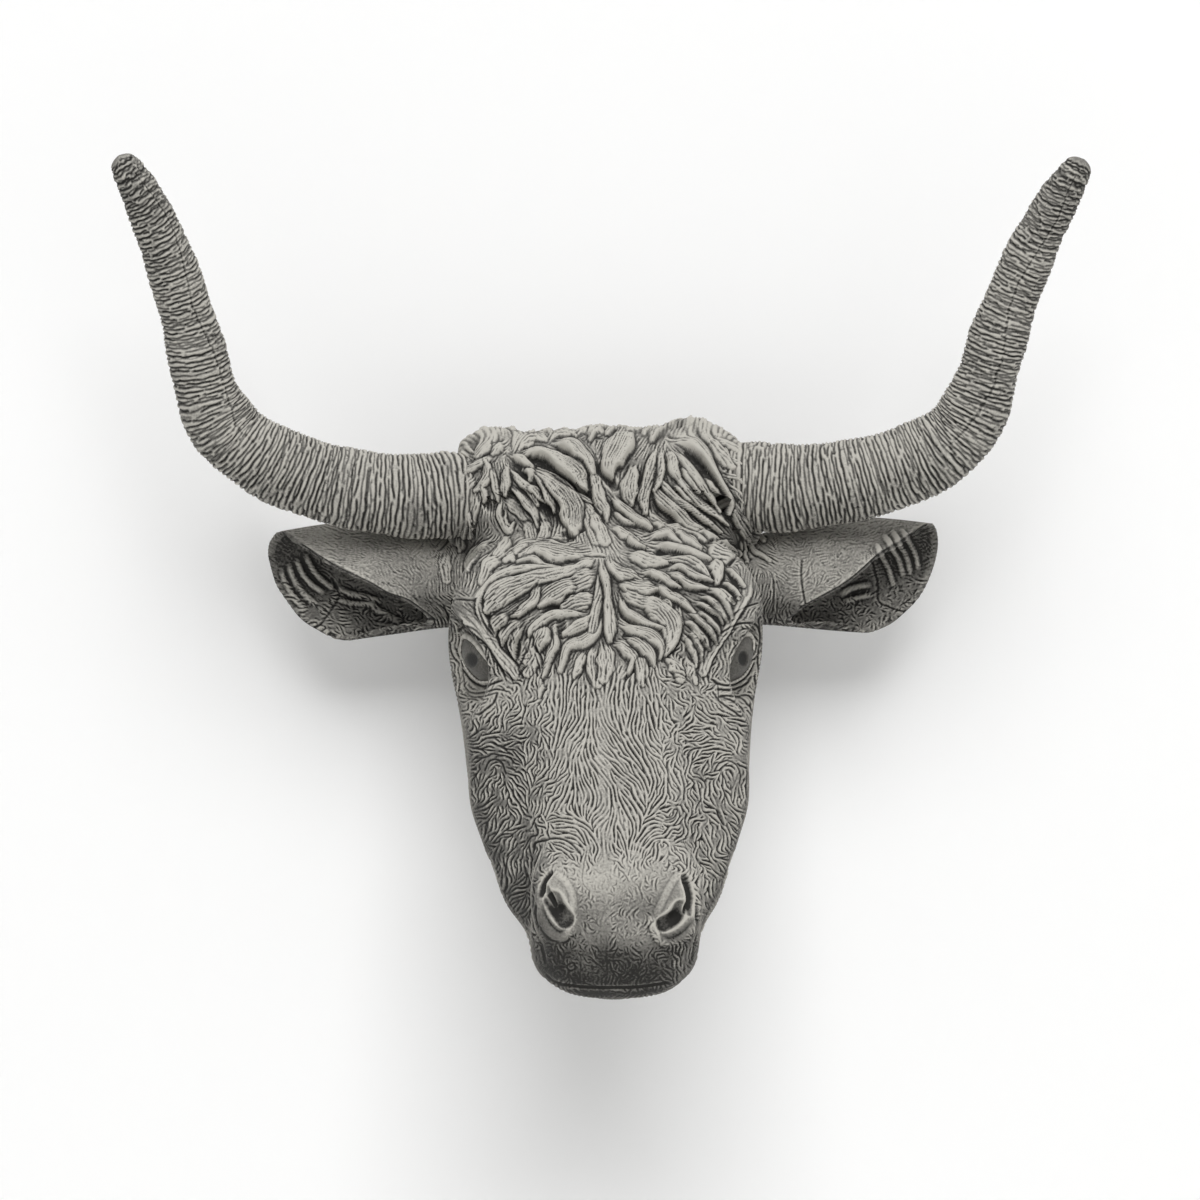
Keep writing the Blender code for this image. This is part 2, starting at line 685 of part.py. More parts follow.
def lock_solid(stations, height):
    """A flat tapered lock of hair that lies on the head along its x, t and half widths."""
    x, t, half = smooth_line(stations, LOCK_RINGS).T
    way = np.gradient(np.stack([x, t]), axis=1)
    way = way / np.linalg.norm(way, axis=0)
    share = np.linspace(0, 1, LOCK_RINGS)
    lift = -0.0030 + 0.0040 * np.sin(share * math.pi * 0.9)
    rise = height * (1 - 0.7 * share**2)
    cross = np.array([-1.0, 0.1, 1.0])
    above = np.array([-0.25, 1.0, -0.25])
    px = x[:, None] + way[1][:, None] * cross * half[:, None]
    pt = t[:, None] - way[0][:, None] * cross * half[:, None]
    pn = face_height(x, t)[:, None] + lift[:, None] + above * rise[:, None]
    points = to_part(px.ravel(), pt.ravel(), pn.ravel())
    return solid("lock", points, tube_faces(LOCK_RINGS, 3))


def crest_lock(x, draw):
    """One lock of the crest, which comes down from between the horns and bends a little."""
    share = np.linspace(0, 1, 4)
    turn = -6.0 * x + draw.uniform(-0.1, 0.1) + draw.uniform(-0.45, 0.45) * share
    reach = CREST_LENGTH * draw.uniform(0.85, 1.15) * share
    wide = LOCK_WIDTH * (0.60 + 0.9 * share - 1.42 * share**3)
    down = CREST_T + 1.2 * x * x + reach * np.cos(turn)
    return lock_solid(np.stack([x + reach * np.sin(turn), down, wide], axis=1), LOCK_HEIGHT)


def forelock():
    """The main locks where they lie, and the row along the top, each a little different."""
    draw = np.random.default_rng(7)
    crest = np.linspace(-1, 1, CREST_LOCKS) * CREST_HALF_WIDTH
    locks = [crest_lock(x, draw) for x in crest]
    for stations, height in MAIN_LOCKS:
        locks.append(lock_solid(np.array(stations) / 1000, height / 1000))
    return locks


# Lower jaw

# Outline of the jaw's own share of the head in t and n, from the lips back along the mouth
JAW_OUTLINE = (
    (0.520, -0.1035),
    (0.435, -0.1035),
    (0.395, -0.1000),
    (0.330, -0.1040),
    (0.255, -0.1330),
    (0.205, -0.1700),
    (0.195, -0.3200),
    (0.520, -0.3200),
)


def jaw_block(name, grow=0.0):
    """A prism right across the head over the jaw's outline."""
    rows = np.array(JAW_OUTLINE)
    rows[:-2, 1] += grow
    rows[-3:-1, 0] -= grow
    count = len(rows)
    points = []
    for x in (-0.2, 0.2):
        points.extend(to_part(np.full(count, x), rows[:, 0], rows[:, 1]))
    faces = [(i, (i + 1) % count, count + (i + 1) % count, count + i) for i in range(count)]
    faces.append(tuple(range(count)))
    faces.append(tuple(range(count, 2 * count)))
    return solid(name, points, faces, smooth=False)


# Back and hanger

POCKET = (0.044, 0.058, 0.016)
PLATE = (0.060, 0.078, 0.0020)
PLATE_Z = 0.066
PLATE_DEPTH = 0.0010
KEYHOLE_RADIUS = 0.0075
KEYHOLE_SLOT = 0.0035
KEYHOLE_RISE = 0.018
KEYHOLE_DROP = 0.008


def block(name, middle, sizes, finish=None):
    """A plain box."""
    half = np.array(sizes) / 2
    corners = [(x, y, z) for x in (-1, 1) for y in (-1, 1) for z in (-1, 1)]
    points = [np.array(middle) + half * np.array(c) for c in corners]
    faces = [(0, 1, 3, 2), (4, 6, 7, 5), (0, 4, 5, 1), (2, 3, 7, 6), (0, 2, 6, 4), (1, 5, 7, 3)]
    return solid(name, points, faces, finish, smooth=False)


def keyhole_cutter():
    """A prism of the keyhole: a round hole for the screw head with a slot above it."""
    start = math.asin(KEYHOLE_SLOT / KEYHOLE_RADIUS)
    turns = np.linspace(start, 2 * math.pi - start, 22)
    low = [(KEYHOLE_RADIUS * math.sin(a), KEYHOLE_RADIUS * math.cos(a)) for a in turns]
    high = []
    for a in np.linspace(-math.pi / 2, math.pi / 2, 9):
        high.append((KEYHOLE_SLOT * math.sin(a), KEYHOLE_RISE + KEYHOLE_SLOT * math.cos(a)))
    outline = [(x, PLATE_Z - KEYHOLE_DROP + z) for x, z in low + high]
    count = len(outline)
    points = [(x, y, z) for y in (-0.02, 0.02) for x, z in outline]
    faces = [(i, (i + 1) % count, count + (i + 1) % count, count + i) for i in range(count)]
    faces.append(tuple(range(count)))
    faces.append(tuple(range(count, 2 * count)))
    return solid("cutter", points, faces, smooth=False)


def make_lower_jaw(stone):
    """The jaw's share of the head, parted from skull and muzzle along its outline."""
    jaw = skin_solid("lower_jaw", skull_rings() + muzzle_rings()[1:], stone, pole=True)
    boolean(jaw, [jaw_block("cutter")], "INTERSECT")


def make_skull(stone):
    """Skull with locks and lids joined on, cut clear of the jaw, eyes, ears and horns."""
    skull = skin_solid("skull", skull_rings(), stone)
    boolean(skull, [jaw_block("cutter", GAP)], "DIFFERENCE")
    lids = [lid_tube(side, upper) for side in (-1, 1) for upper in (True, False)]
    boolean(skull, forelock() + lids, "UNION")
    eyes = [eye_solid("cutter", side, None, GAP) for side in (-1, 1)]
    ears = [ear_solid("cutter", side, None, GAP) for side in (-1, 1)]
    horns = [horn_solid("cutter", line, None, GAP) for line in (LEFT_HORN, RIGHT_HORN)]
    boolean(skull, eyes + horns + ears, "DIFFERENCE")


def make_muzzle(stone):
    """Muzzle with the nostrils' rims joined on and their hollows cut out."""
    muzzle = skin_solid("muzzle", muzzle_rings(), stone, pole=True)
    boolean(muzzle, [jaw_block("cutter", GAP)], "DIFFERENCE")
    rims = [nostril_tube("rim", NOSTRIL_RIM, side) for side in (-1, 1)]
    boolean(muzzle, rims, "UNION")
    hollows = [nostril_tube("cutter", NOSTRIL, side) for side in (-1, 1)]
    boolean(muzzle, hollows, "DIFFERENCE")


def make_neck(stone):
    """Neck stub with its flat back on the wall, and the hanger's pocket and rebate cut in it."""
    neck = skin_solid("neck", neck_rings(), stone)
    middle = (0, 0, PLATE_Z)
    pocket = block("cutter", middle, (POCKET[0], 2 * POCKET[2], POCKET[1]))
    sunk = PLATE[2] + PLATE_DEPTH + GAP
    rebate = block("cutter", middle, (PLATE[0] + 2 * GAP, 2 * sunk, PLATE[1] + 2 * GAP))
    boolean(neck, [pocket, rebate], "DIFFERENCE")


def make_hanger(steel):
    """Steel plate with a keyhole, let into the back of the neck."""
    middle = (0, -PLATE_DEPTH - PLATE[2] / 2, PLATE_Z)
    plate = block("hanger_plate", middle, (PLATE[0], PLATE[2], PLATE[1]), steel)
    boolean(plate, [keyhole_cutter()], "DIFFERENCE")


def main():
    clear_scene()
    stone = material("cast_stone", (0.30, 0.29, 0.27), 0.8)
    dark = material("eye_stone", (0.16, 0.155, 0.145), 0.6)
    steel = material("zinc_plated_steel", (0.62, 0.62, 0.60), 0.35, 1.0)
    make_lower_jaw(stone)
    make_skull(stone)
    make_muzzle(stone)
    make_neck(stone)
    make_hanger(steel)
    horn_solid("horn_left", LEFT_HORN, stone)
    horn_solid("horn_right", RIGHT_HORN, stone)
    ear_solid("ear_left", -1, stone)
    ear_solid("ear_right", 1, stone)
    eye_solid("eye_left", -1, dark)
    eye_solid("eye_right", 1, dark)


main()
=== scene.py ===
# %% [markdown]
# # A cast steer's head for a wall
# The real thing is a casting in a grey stone-effect resin: a life-size steer's head with long
# horns, hung flat on a white wall. A sculptor worked hair, rings and
# folds into the clay with a loop and a knife, the mould took every stroke, and a dark wash was
# rubbed back so that it stays in the grooves. This lesson lays that surface over a plain solid
# model, as sheets of relief that are first painted flat and then wrapped round each form.

# %% The frame, and the plain model's box
import math

import bpy
import numpy as np
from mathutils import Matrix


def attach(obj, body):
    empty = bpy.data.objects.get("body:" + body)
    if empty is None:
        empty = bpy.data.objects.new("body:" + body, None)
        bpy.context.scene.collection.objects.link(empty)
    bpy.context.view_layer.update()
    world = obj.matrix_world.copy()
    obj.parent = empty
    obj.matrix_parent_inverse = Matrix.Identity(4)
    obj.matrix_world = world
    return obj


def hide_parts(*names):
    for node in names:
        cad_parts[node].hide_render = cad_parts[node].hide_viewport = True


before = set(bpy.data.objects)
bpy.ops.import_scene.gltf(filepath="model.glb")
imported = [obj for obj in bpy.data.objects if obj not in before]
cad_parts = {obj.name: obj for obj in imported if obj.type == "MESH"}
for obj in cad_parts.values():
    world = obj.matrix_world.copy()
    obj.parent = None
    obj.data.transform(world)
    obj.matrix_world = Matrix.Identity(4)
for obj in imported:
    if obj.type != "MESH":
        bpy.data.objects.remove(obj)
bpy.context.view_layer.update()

# %% [markdown]
# ## The camera
# The photograph was taken square on from about head height, a hair to one side. Its numbers come
# first, because the marks on the face are given by the places where the photograph shows them.
# A point of the model is turned into a place in the 1200-pixel picture by plain perspective:
# how far it lies to the right and up, over how far it lies away.

# %% Camera
PICTURE = 1200
LENS, SENSOR = 100.0, 36.0
SWING = math.radians(-2.1)
AIM = np.array([-0.0043, -0.150, 0.0])
RANGE = 2.6
TO_CAMERA = np.array([math.sin(SWING), -math.cos(SWING), 0.0])
RIGHT = np.array([math.cos(SWING), math.sin(SWING), 0.0])
LENS_POINT = AIM + RANGE * TO_CAMERA
FOCAL_PIXELS = PICTURE * LENS / SENSOR


def to_photo(points):
    """Picture x and y: the offset from the lens to the right and down, over the distance away."""
    away = points - LENS_POINT
    scale = FOCAL_PIXELS / (away @ -TO_CAMERA)
    return PICTURE / 2 + scale * (away @ RIGHT), PICTURE / 2 - scale * away[..., 2]


camera = bpy.data.objects.new("camera", bpy.data.cameras.new("camera"))
bpy.context.scene.collection.objects.link(camera)
camera.data.lens = LENS
camera.data.sensor_width = SENSOR
camera.location = LENS_POINT
camera.rotation_euler = (math.pi / 2, 0, SWING)
bpy.context.scene.camera = camera
print("muzzle's tip shows at", np.round(to_photo(np.array([0.0, -0.39, -0.21])), 1))

# %% [markdown]
# ## The form of the head
# Under the hair the head is a handful of rounded masses: skull, poll, brows, nose, cheeks, jowls,
# jaw, muzzle, chin and neck. It could be sculpted by hand, but the plain model already says it as
# egg and bar shapes melted together. The same formula is used here at a finer grain, so that the
# detailed skin and the plain solid agree to a fraction of a millimetre.

# %% Directions of the head
FACE_TILT = math.radians(40)
POLL = np.array([0.0, -0.125, 0.125])
DOWN = np.array([0.0, -math.sin(FACE_TILT), -math.cos(FACE_TILT)])
OUT = np.array([0.0, -math.cos(FACE_TILT), math.sin(FACE_TILT)])
ACROSS = np.array([1.0, 0.0, 0.0])


def to_head(points):
    """x across, t down the face from the poll and n out of it, as dot products."""
    away = points - POLL
    return points[..., 0], away @ DOWN, away @ OUT


def to_part(x, t, n):
    """The way back: the poll plus x, t and n along their directions."""
    x, t, n = (np.asarray(v, float)[..., None] for v in (x, t, n))
    return POLL + x * ACROSS + t * DOWN + n * OUT


# %% Rounded forms, with their middles and half sizes in x, t and n
SKULL_FORM = ((0, 0.098, -0.090), (0.112, 0.112, 0.088))
POLL_FORM = ((0, 0.030, -0.043), (0.116, 0.046, 0.055))
BROW_FORM = ((0.081, 0.142, -0.032), (0.036, 0.050, 0.032))
WING_FORM = ((0.043, 0.413, -0.030), (0.018, 0.034, 0.024))
CHIN_FORM = ((0, 0.404, -0.113), (0.040, 0.038, 0.021))
SOCKET_FORM = ((0.112, 0.182, -0.056), (0.024, 0.036, 0.027))
FACE_FORM = ((0.150, -0.072, 0.090, 0.070), (0.400, -0.052, 0.050, 0.046), 2.5)
CHEEK_FORM = ((0.150, -0.094, 0.116, 0.068), (0.256, -0.092, 0.105, 0.055), 2.8)
JOWL_FORM = ((0.140, -0.140, 0.086, 0.060), (0.340, -0.108, 0.072, 0.042), 2.4)
JAW_FORM = ((0.316, -0.096, 0.084, 0.046), (0.412, -0.089, 0.059, 0.036), 2.7)
MUZZLE_FORM = ((0.398, -0.056, 0.047, 0.052), (0.421, -0.065, 0.051, 0.047), 3.2)
CORE_FORM = ((0, -0.108, 0.084), (0.083, -0.120, 0.086), 0.045, 0.041)
NECK_CENTRE_Z, NECK_HALF_WIDTH, NECK_HALF_HEIGHT = 0.004, 0.106, 0.112
NECK_SQUARENESS, NECK_REACH = 2.3, 0.100
BROAD, MIDDLING, TIGHT = 0.030, 0.025, 0.016


def melt(a, b, width):
    """The smaller of two distances, with a parabola across the width where they meet."""
    share = np.clip(0.5 + 0.5 * (b - a) / width, 0, 1)
    return b * (1 - share) + a * share - width * share * (1 - share)


def egg(x, t, n, centre, radii):
    """Distance to an ellipsoid: how far outside in radii, over how fast that grows."""
    q = [(v - c) / r for v, c, r in zip((x, t, n), centre, radii)]
    near = np.sqrt(q[0] ** 2 + q[1] ** 2 + q[2] ** 2)
    slope = np.sqrt(sum((v / r) ** 2 for v, r in zip(q, radii))) + 1e-9
    return near * (near - 1) / slope


def bar(x, t, n, start, end, power):
    """Distance to a bar whose section is |x/wide|^p + |reach/deep|^p = 1, tapering end to end."""
    run = np.array([end[0] - start[0], end[1] - start[1]])
    length = math.hypot(*run)
    run = run / length
    along = (t - start[0]) * run[0] + (n - start[1]) * run[1]
    share = np.clip(along / length, 0, 1)
    lift = -(t - start[0]) * run[1] + (n - start[1]) * run[0]
    wide = start[2] + (end[2] - start[2]) * share
    deep = start[3] + (end[3] - start[3]) * share
    reach = np.sqrt(lift**2 + (along - share * length) ** 2)
    size = ((np.abs(x) / wide) ** power + (reach / deep) ** power) ** (1 / power)
    return (size - 1) * np.minimum(wide, deep)


def core(points, start, end, thick, thin):
    """Distance to the round root that carries each horn, tapering from one radius to the other."""
    run = np.subtract(end, start)
    side = np.abs(points) * (1, 0, 0) + points * (0, 1, 1)
    share = np.clip((side - start) @ run / (run @ run), 0, 1)
    reach = np.linalg.norm(side - start - share[..., None] * run, axis=-1)
    return reach - thick - (thin - thick) * share


def neck(points):
    """Distance to the neck: a flat-sided oval prism out from the wall."""
    across = np.abs(points[..., 0]) / NECK_HALF_WIDTH
    up = np.abs(points[..., 2] - NECK_CENTRE_Z) / NECK_HALF_HEIGHT
    reach = (across**NECK_SQUARENESS + up**NECK_SQUARENESS) ** (1 / NECK_SQUARENESS)
    return np.maximum((reach - 1) * NECK_HALF_WIDTH, -NECK_REACH - points[..., 1])


def head_distance(points):
    """All the forms melted into one distance, with the eye sockets carved back out."""
    x, t, n = to_head(points)
    side = np.abs(x)
    skin = melt(egg(x, t, n, *SKULL_FORM), egg(x, t, n, *POLL_FORM), BROAD)
    skin = melt(skin, egg(side, t, n, *BROW_FORM), BROAD)
    for form in (FACE_FORM, CHEEK_FORM, JOWL_FORM):
        skin = melt(skin, bar(x, t, n, *form), BROAD)
    skin = melt(skin, bar(x, t, n, *JAW_FORM), MIDDLING)
    skin = melt(skin, bar(x, t, n, *MUZZLE_FORM), TIGHT)
    skin = melt(skin, egg(side, t, n, *WING_FORM), TIGHT)
    skin = melt(skin, egg(x, t, n, *CHIN_FORM), TIGHT)
    skin = -melt(-skin, egg(side, t, n, *SOCKET_FORM), TIGHT)
    skin = melt(skin, core(points, *CORE_FORM), MIDDLING)
    return melt(skin, neck(points), BROAD)


print("distance at the poll, in mm", round(1000 * float(head_distance(POLL[None])[0]), 1))

# %% [markdown]
# ## A sheet of relief
# Hair cut into clay is nothing but height: a groove where the loop passed, a ridge beside it. Such
# detail could be sculpted stroke by stroke on the mesh, but it is easier to control flat. A sheet
# is a fine table of heights in millimetres. A groove has the section of a bowl, 1 - (distance /
# radius)^2, pressed along a line, and where strokes cross, the deeper one wins.

# %% Sheets, and strokes pressed into them
def smoothstep(low, high, value):
    """0 below low, 1 above high, and 3s^2 - 2s^3 between."""
    s = np.clip((value - low) / (high - low), 0, 1)
    return s * s * (3 - 2 * s)


def travelled(line):
    """How far each point lies along the line: the running sum of the steps' lengths."""
    return np.append(0, np.cumsum(np.linalg.norm(np.diff(line, axis=0), axis=1)))


def unit(vectors):
    """Each vector over its own length."""
    return vectors / np.linalg.norm(vectors, axis=-1)[..., None]


def doubled(angle):
    """Cosine and sine of twice the angle, so that a heading and its opposite are the same."""
    return np.stack([np.cos(2 * angle), np.sin(2 * angle)])


def full_turn(count):
    """Angles evenly round a circle."""
    return np.arange(count) * 2 * math.pi / count


def between(a, b, c, d, h):
    """Catmull-Rom: the cubic from b to c whose slopes at them are (c - a) / 2 and (d - b) / 2."""
    bend = (2 * a - 5 * b + 4 * c - d) * h**2 + (3 * b - a - 3 * c + d) * h**3
    return 0.5 * (2 * b + (c - a) * h + bend)


def smooth_line(stations, count):
    """A Catmull-Rom curve through the stations, read at even steps of its own length."""
    rows = np.asarray(stations, float)
    ends = np.vstack([2 * rows[0] - rows[1], rows, 2 * rows[-1] - rows[-2]])
    place = np.linspace(0, len(rows) - 1, 12 * len(rows))
    i = np.minimum(place.astype(int), len(rows) - 2)
    h = (place - i)[:, None]
    a, b, c, d = (ends[i + k] for k in range(4))
    fine = between(a, b, c, d, h)
    along = travelled(fine[:, : 3 if rows.shape[1] > 3 else 2])
    wanted = np.linspace(0, along[-1], count)
    return np.stack([np.interp(wanted, along, column) for column in fine.T], axis=1)


def blurred(table, reach, wrap=False):
    """Three passes of a moving average, each 2 reach + 1 samples wide, along both directions."""
    size = 2 * reach + 1
    for _ in range(3):
        for axis in (0, 1):
            ends = [(reach + 1, reach) if k == axis else (0, 0) for k in (0, 1)]
            mode = "wrap" if wrap and axis == 0 else "edge"
            total = np.cumsum(np.pad(table, ends, mode=mode), axis=axis)
            count = table.shape[axis]
            near = np.take(total, np.arange(count) + size, axis=axis)
            table = (near - np.take(total, np.arange(count), axis=axis)) / size
    return table


class Sheet:
    """A table of heights in millimetres over two coordinates, u across and v down its rows."""

    def __init__(self, u_range, v_range, per, wrap=False):
        self.start = np.array([u_range[0], v_range[0]], float)
        self.per = per
        self.wrap = wrap
        columns = int(round((u_range[1] - u_range[0]) * per)) + 1
        rows = int(round((v_range[1] - v_range[0]) * per)) + (0 if wrap else 1)
        self.relief = np.zeros((rows, columns))
        self.turns = np.zeros((2, rows, columns))

    def places(self, rows=slice(None), columns=slice(None)):
        """u and v of each sample in a window."""
        u = self.start[0] + np.arange(self.relief.shape[1])[columns] / self.per
        v = self.start[1] + np.arange(self.relief.shape[0])[rows] / self.per
        return np.meshgrid(u, v)

    def read(self, table, u, v):
        """The table between its samples, by the four nearest."""
        x = np.clip((u - self.start[0]) * self.per, 0, table.shape[1] - 1.001)
        y = (v - self.start[1]) * self.per
        y = y % table.shape[0] if self.wrap else np.clip(y, 0, table.shape[0] - 1.001)
        i, j = y.astype(int), x.astype(int)
        a, b = y - i, x - j
        below = (i + 1) % table.shape[0]
        upper = table[i, j] * (1 - b) + table[i, j + 1] * b
        return upper * (1 - a) + (table[below, j] * (1 - b) + table[below, j + 1] * b) * a

    def stamp(self, lines, radius, depth, power=1.0):
        """Height of the strokes alone: depth (1 - (d/r)^2)^power, thinning out at both ends."""
        spots, weights = [], []
        for line in lines:
            steps = travelled(line)
            count = int(steps[-1] * self.per * 1.5) + 2
            even = np.linspace(0, steps[-1], count)
            spots.append(np.stack([np.interp(even, steps, c) for c in line.T], axis=1))
            reach = np.minimum(even, steps[-1] - even) / (1.2 * radius)
            weights.append(0.45 + 0.55 * np.minimum(reach, 1))
        spots = (np.concatenate(spots) - self.start) * self.per
        weights = np.concatenate(weights) * depth
        rows, columns = self.relief.shape
        marks = np.zeros(rows * columns)
        near = np.floor(spots).astype(int)
        span = int(math.ceil(radius * self.per))
        for down in range(-span, span + 2):
            for over in range(-span, span + 2):
                x, y = near[:, 0] + over, near[:, 1] + down
                apart = (x - spots[:, 0]) ** 2 + (y - spots[:, 1]) ** 2
                bowl = 1 - apart / (radius * self.per) ** 2
                y = y % rows if self.wrap else y
                use = (bowl > 0) & (x >= 0) & (x < columns) & (y >= 0) & (y < rows)
                cells = y[use] * columns + x[use]
                np.maximum.at(marks, cells, weights[use] * bowl[use] ** power)
        return marks.reshape(rows, columns)

    def groove(self, lines, radius, depth, power=1.0):
        """Presses strokes in."""
        self.relief -= self.stamp(lines, radius, depth, power)

    def ridge(self, lines, radius, height, power=0.5):
        """Lays rounded rolls on."""
        self.relief += self.stamp(lines, radius, height, power)

    def follow(self, lines):
        """Notes each line's heading under it, as the cosine and sine of twice its angle."""
        for line in lines:
            angle = np.arctan2(*np.diff(line, axis=0).T[::-1])
            x, y = np.round((line[1:] - self.start) * self.per).astype(int).T
            use = (x >= 0) & (x < self.relief.shape[1]) & (y >= 0) & (y < self.relief.shape[0])
            self.turns[:, y[use], x[use]] = doubled(angle)[:, use]

    def heading(self, base):
        """Half the angle of the noted vectors, blurred near, wide and very wide, over a base."""
        total = 1e-6 * doubled(base)
        for reach, weight in ((2, 1.0), (7, 0.05), (24, 0.002)):
            total += weight * np.stack([blurred(table, reach) for table in self.turns])
        return 0.5 * np.arctan2(total[1], total[0])


STROKE_GAP = 2.0
UNBROKEN = (400, 401)


def combed(first, last, count, shortest, longest, draw):
    """Broken strokes in the space between two lines: each is a straight mix of the two."""
    a, b = smooth_line(first, 40), smooth_line(last, 40)
    strokes = []
    for share in (np.arange(count) + 0.5 + draw.uniform(-0.22, 0.22, count)) / count:
        whole = a + (b - a) * share
        steps = travelled(whole)
        here = -draw.uniform(0, shortest)
        while here < steps[-1]:
            there = here + draw.uniform(shortest, longest)
            span = np.linspace(max(here, 0), min(there, steps[-1]), 8)
            if span[-1] - span[0] > shortest / 3:
                line = np.stack([np.interp(span, steps, c) for c in whole.T], axis=1)
                strokes.append(line + draw.normal(0, 0.07 * STROKE_GAP, (1, 2)))
            here = there + draw.uniform(0.5, 1.0) * STROKE_GAP
    return strokes


HEADINGS = 16


def ripples(noise, heading, period, length, passes=3):
    """Combs noise into parallel lines. Each heading keeps only the waves that lie across it at
    one over the period, and each sample mixes the two headings nearest its own."""
    rows, columns = noise.shape
    full = [-(-count // 64) * 64 for count in noise.shape]
    down, over = np.fft.fftfreq(full[0])[:, None], np.fft.rfftfreq(full[1])
    place = heading / math.pi * HEADINGS
    for _ in range(passes):
        waves = np.fft.rfft2(noise, s=full)
        combed_noise = np.zeros_like(noise)
        for k in range(HEADINGS):
            angle = math.pi * k / HEADINGS
            along = over * math.cos(angle) + down * math.sin(angle)
            across = np.abs(down * math.cos(angle) - over * math.sin(angle))
            kept = np.exp(-0.5 * (2 * math.pi * along * length) ** 2)
            kept = kept * np.exp(-0.5 * ((across * period - 1) / 0.35) ** 2)
            apart = (place - k + HEADINGS / 2) % HEADINGS - HEADINGS / 2
            share = np.clip(1 - np.abs(apart), 0, 1)
            combed_noise += share * np.fft.irfft2(waves * kept, s=full)[:rows, :columns]
        noise = np.tanh(1.5 * combed_noise / combed_noise.std())
    return noise


def cut_hair(field, depth):
    """Narrow grooves where the field is low, and broad low ridges where it is high."""
    return depth * (0.3 * np.clip(field, 0, 1) - np.clip(-field - 0.05, 0, 1) ** 0.9)


front = Sheet((255, 945), (405, 1005), 2)
print("front sheet", front.relief.shape)

# %% [markdown]
# ## Locks of hair
# The forelock is a heap of flat, leaf-shaped locks, each with two to nine strands combed into it.
# They could be modelled as separate solids, but the real ones are one with the casting and melt
# into it at their roots. Each lock here is a line with a width at each station. Across it the
# height is (1 - c^4)^0.5, which is nearly flat with a steep edge, and it is tilted so that one
# edge stands up like a blade. Along it the lock rises from its root, lies half over what is
# beneath, and ends crisply. Locks go on from the lowest to the uppermost, as a modeller lays them.

# %% Laying one lock
LOCK_STEPS = 50
LOCK_WIDENING, LOCK_TILT, MORE_STRANDS = 1.15, 0.55, 1.5
COMB_SHARE, COMB_DEEPEST = 0.36, 1.7
CONTACT_DEPTH, CONTACT_WIDTH = 0.7, 1.6


def lay_lock(sheet, stations, height, strands, draw):
    """Raises a leaf shape over its window of the sheet, and sinks the contact line round it."""
    line = smooth_line(stations, LOCK_STEPS)
    line[:, 2] *= LOCK_WIDENING
    margin = line[:, 2].max() + 4
    low = (line[:, :2].min(axis=0) - margin - sheet.start) * sheet.per
    high = (line[:, :2].max(axis=0) + margin - sheet.start) * sheet.per
    limit = sheet.relief.shape[::-1]
    low, high = np.clip(low, 0, limit).astype(int), np.clip(high, 0, limit).astype(int)
    window = slice(low[1], high[1]), slice(low[0], high[0])
    u, v = sheet.places(*window)
    if u.size == 0:
        return
    away = np.stack([u, v], axis=-1)[:, :, None] - line[:, :2]
    nearest = (away**2).sum(axis=-1).argmin(axis=-1)
    tangent = np.gradient(line[:, :2], axis=0)
    step = np.linalg.norm(tangent, axis=1)
    tangent = tangent / step[:, None]
    away = np.take_along_axis(away, nearest[..., None, None], axis=2)[:, :, 0]
    way = tangent[nearest]
    along = (away * way).sum(axis=-1)
    cross = away[..., 0] * way[..., 1] - away[..., 1] * way[..., 0]
    place = nearest + np.clip(along / step[nearest], -0.5, 0.5)
    share = place / (LOCK_STEPS - 1)
    wave = 1 + 0.12 * np.sin(share * 13 + draw.uniform(0, 6)) * np.sign(cross)
    half = np.interp(place, np.arange(LOCK_STEPS), line[:, 2]) * wave
    c = cross / half
    beyond = np.hypot(cross, along) - half
    ends = (nearest == 0) | (nearest == LOCK_STEPS - 1)
    outside = np.where(ends & (np.abs(along) > step[nearest]), beyond, np.abs(cross) - half)
    under = sheet.read(sheet.relief, line[:, 0], line[:, 1])
    under = np.convolve(np.pad(under, 7, mode="edge"), np.ones(15) / 15, mode="valid")
    lift = 0.5 * np.interp(place, np.arange(LOCK_STEPS), under)
    rise = smoothstep(-0.02, 0.26, share) * (1 - 0.25 * smoothstep(0.7, 1.0, share))
    crown = np.clip(1 - np.abs(c) ** 4, 0, 1) ** 0.5
    crown = crown * np.clip(-outside / 0.8, 0, 1) ** 0.3
    crown = crown * (1 - LOCK_TILT * np.sign(way[..., 0].mean()) * draw.choice((-0.4, 1, 1)) * c)
    turn = (c + 1) / 2 * MORE_STRANDS * strands + 0.25 * np.sin(share * 7 + draw.uniform(0, 6))
    combs = (1 - np.abs(np.sin(math.pi * turn))) ** 2.2 if strands > 1 else 0 * c
    body = lift + height * rise * crown
    body = body - min(COMB_SHARE * height, COMB_DEEPEST) * combs * rise * crown
    current = sheet.relief[window]
    laid = np.maximum(body, current - 2.5 * rise)
    contact = current - CONTACT_DEPTH * rise * np.clip(1 - outside / CONTACT_WIDTH, 0, 1)
    beside = np.where(outside < CONTACT_WIDTH, contact, current)
    sheet.relief[window] = np.where(outside < 0, laid, beside)
    angle = np.arctan2(way[..., 1], way[..., 0])
    noted = sheet.turns[(slice(None), *window)]
    noted[:] = np.where(outside < 0.5, doubled(angle), noted)

# %% [markdown]
# ## The forelock
# First the deep hollows between the tufts are sunk, then two bands of the brow and 143 locks go
# on. They are kept as plain tables. A row holds its settings first, and after a bar its stations,
# parted by commas; where a row is long, it goes on in the next line. For a lock the settings are
# its height in millimetres and its number of strands, and each station, from root to tip, is
# picture x, picture y and half width.

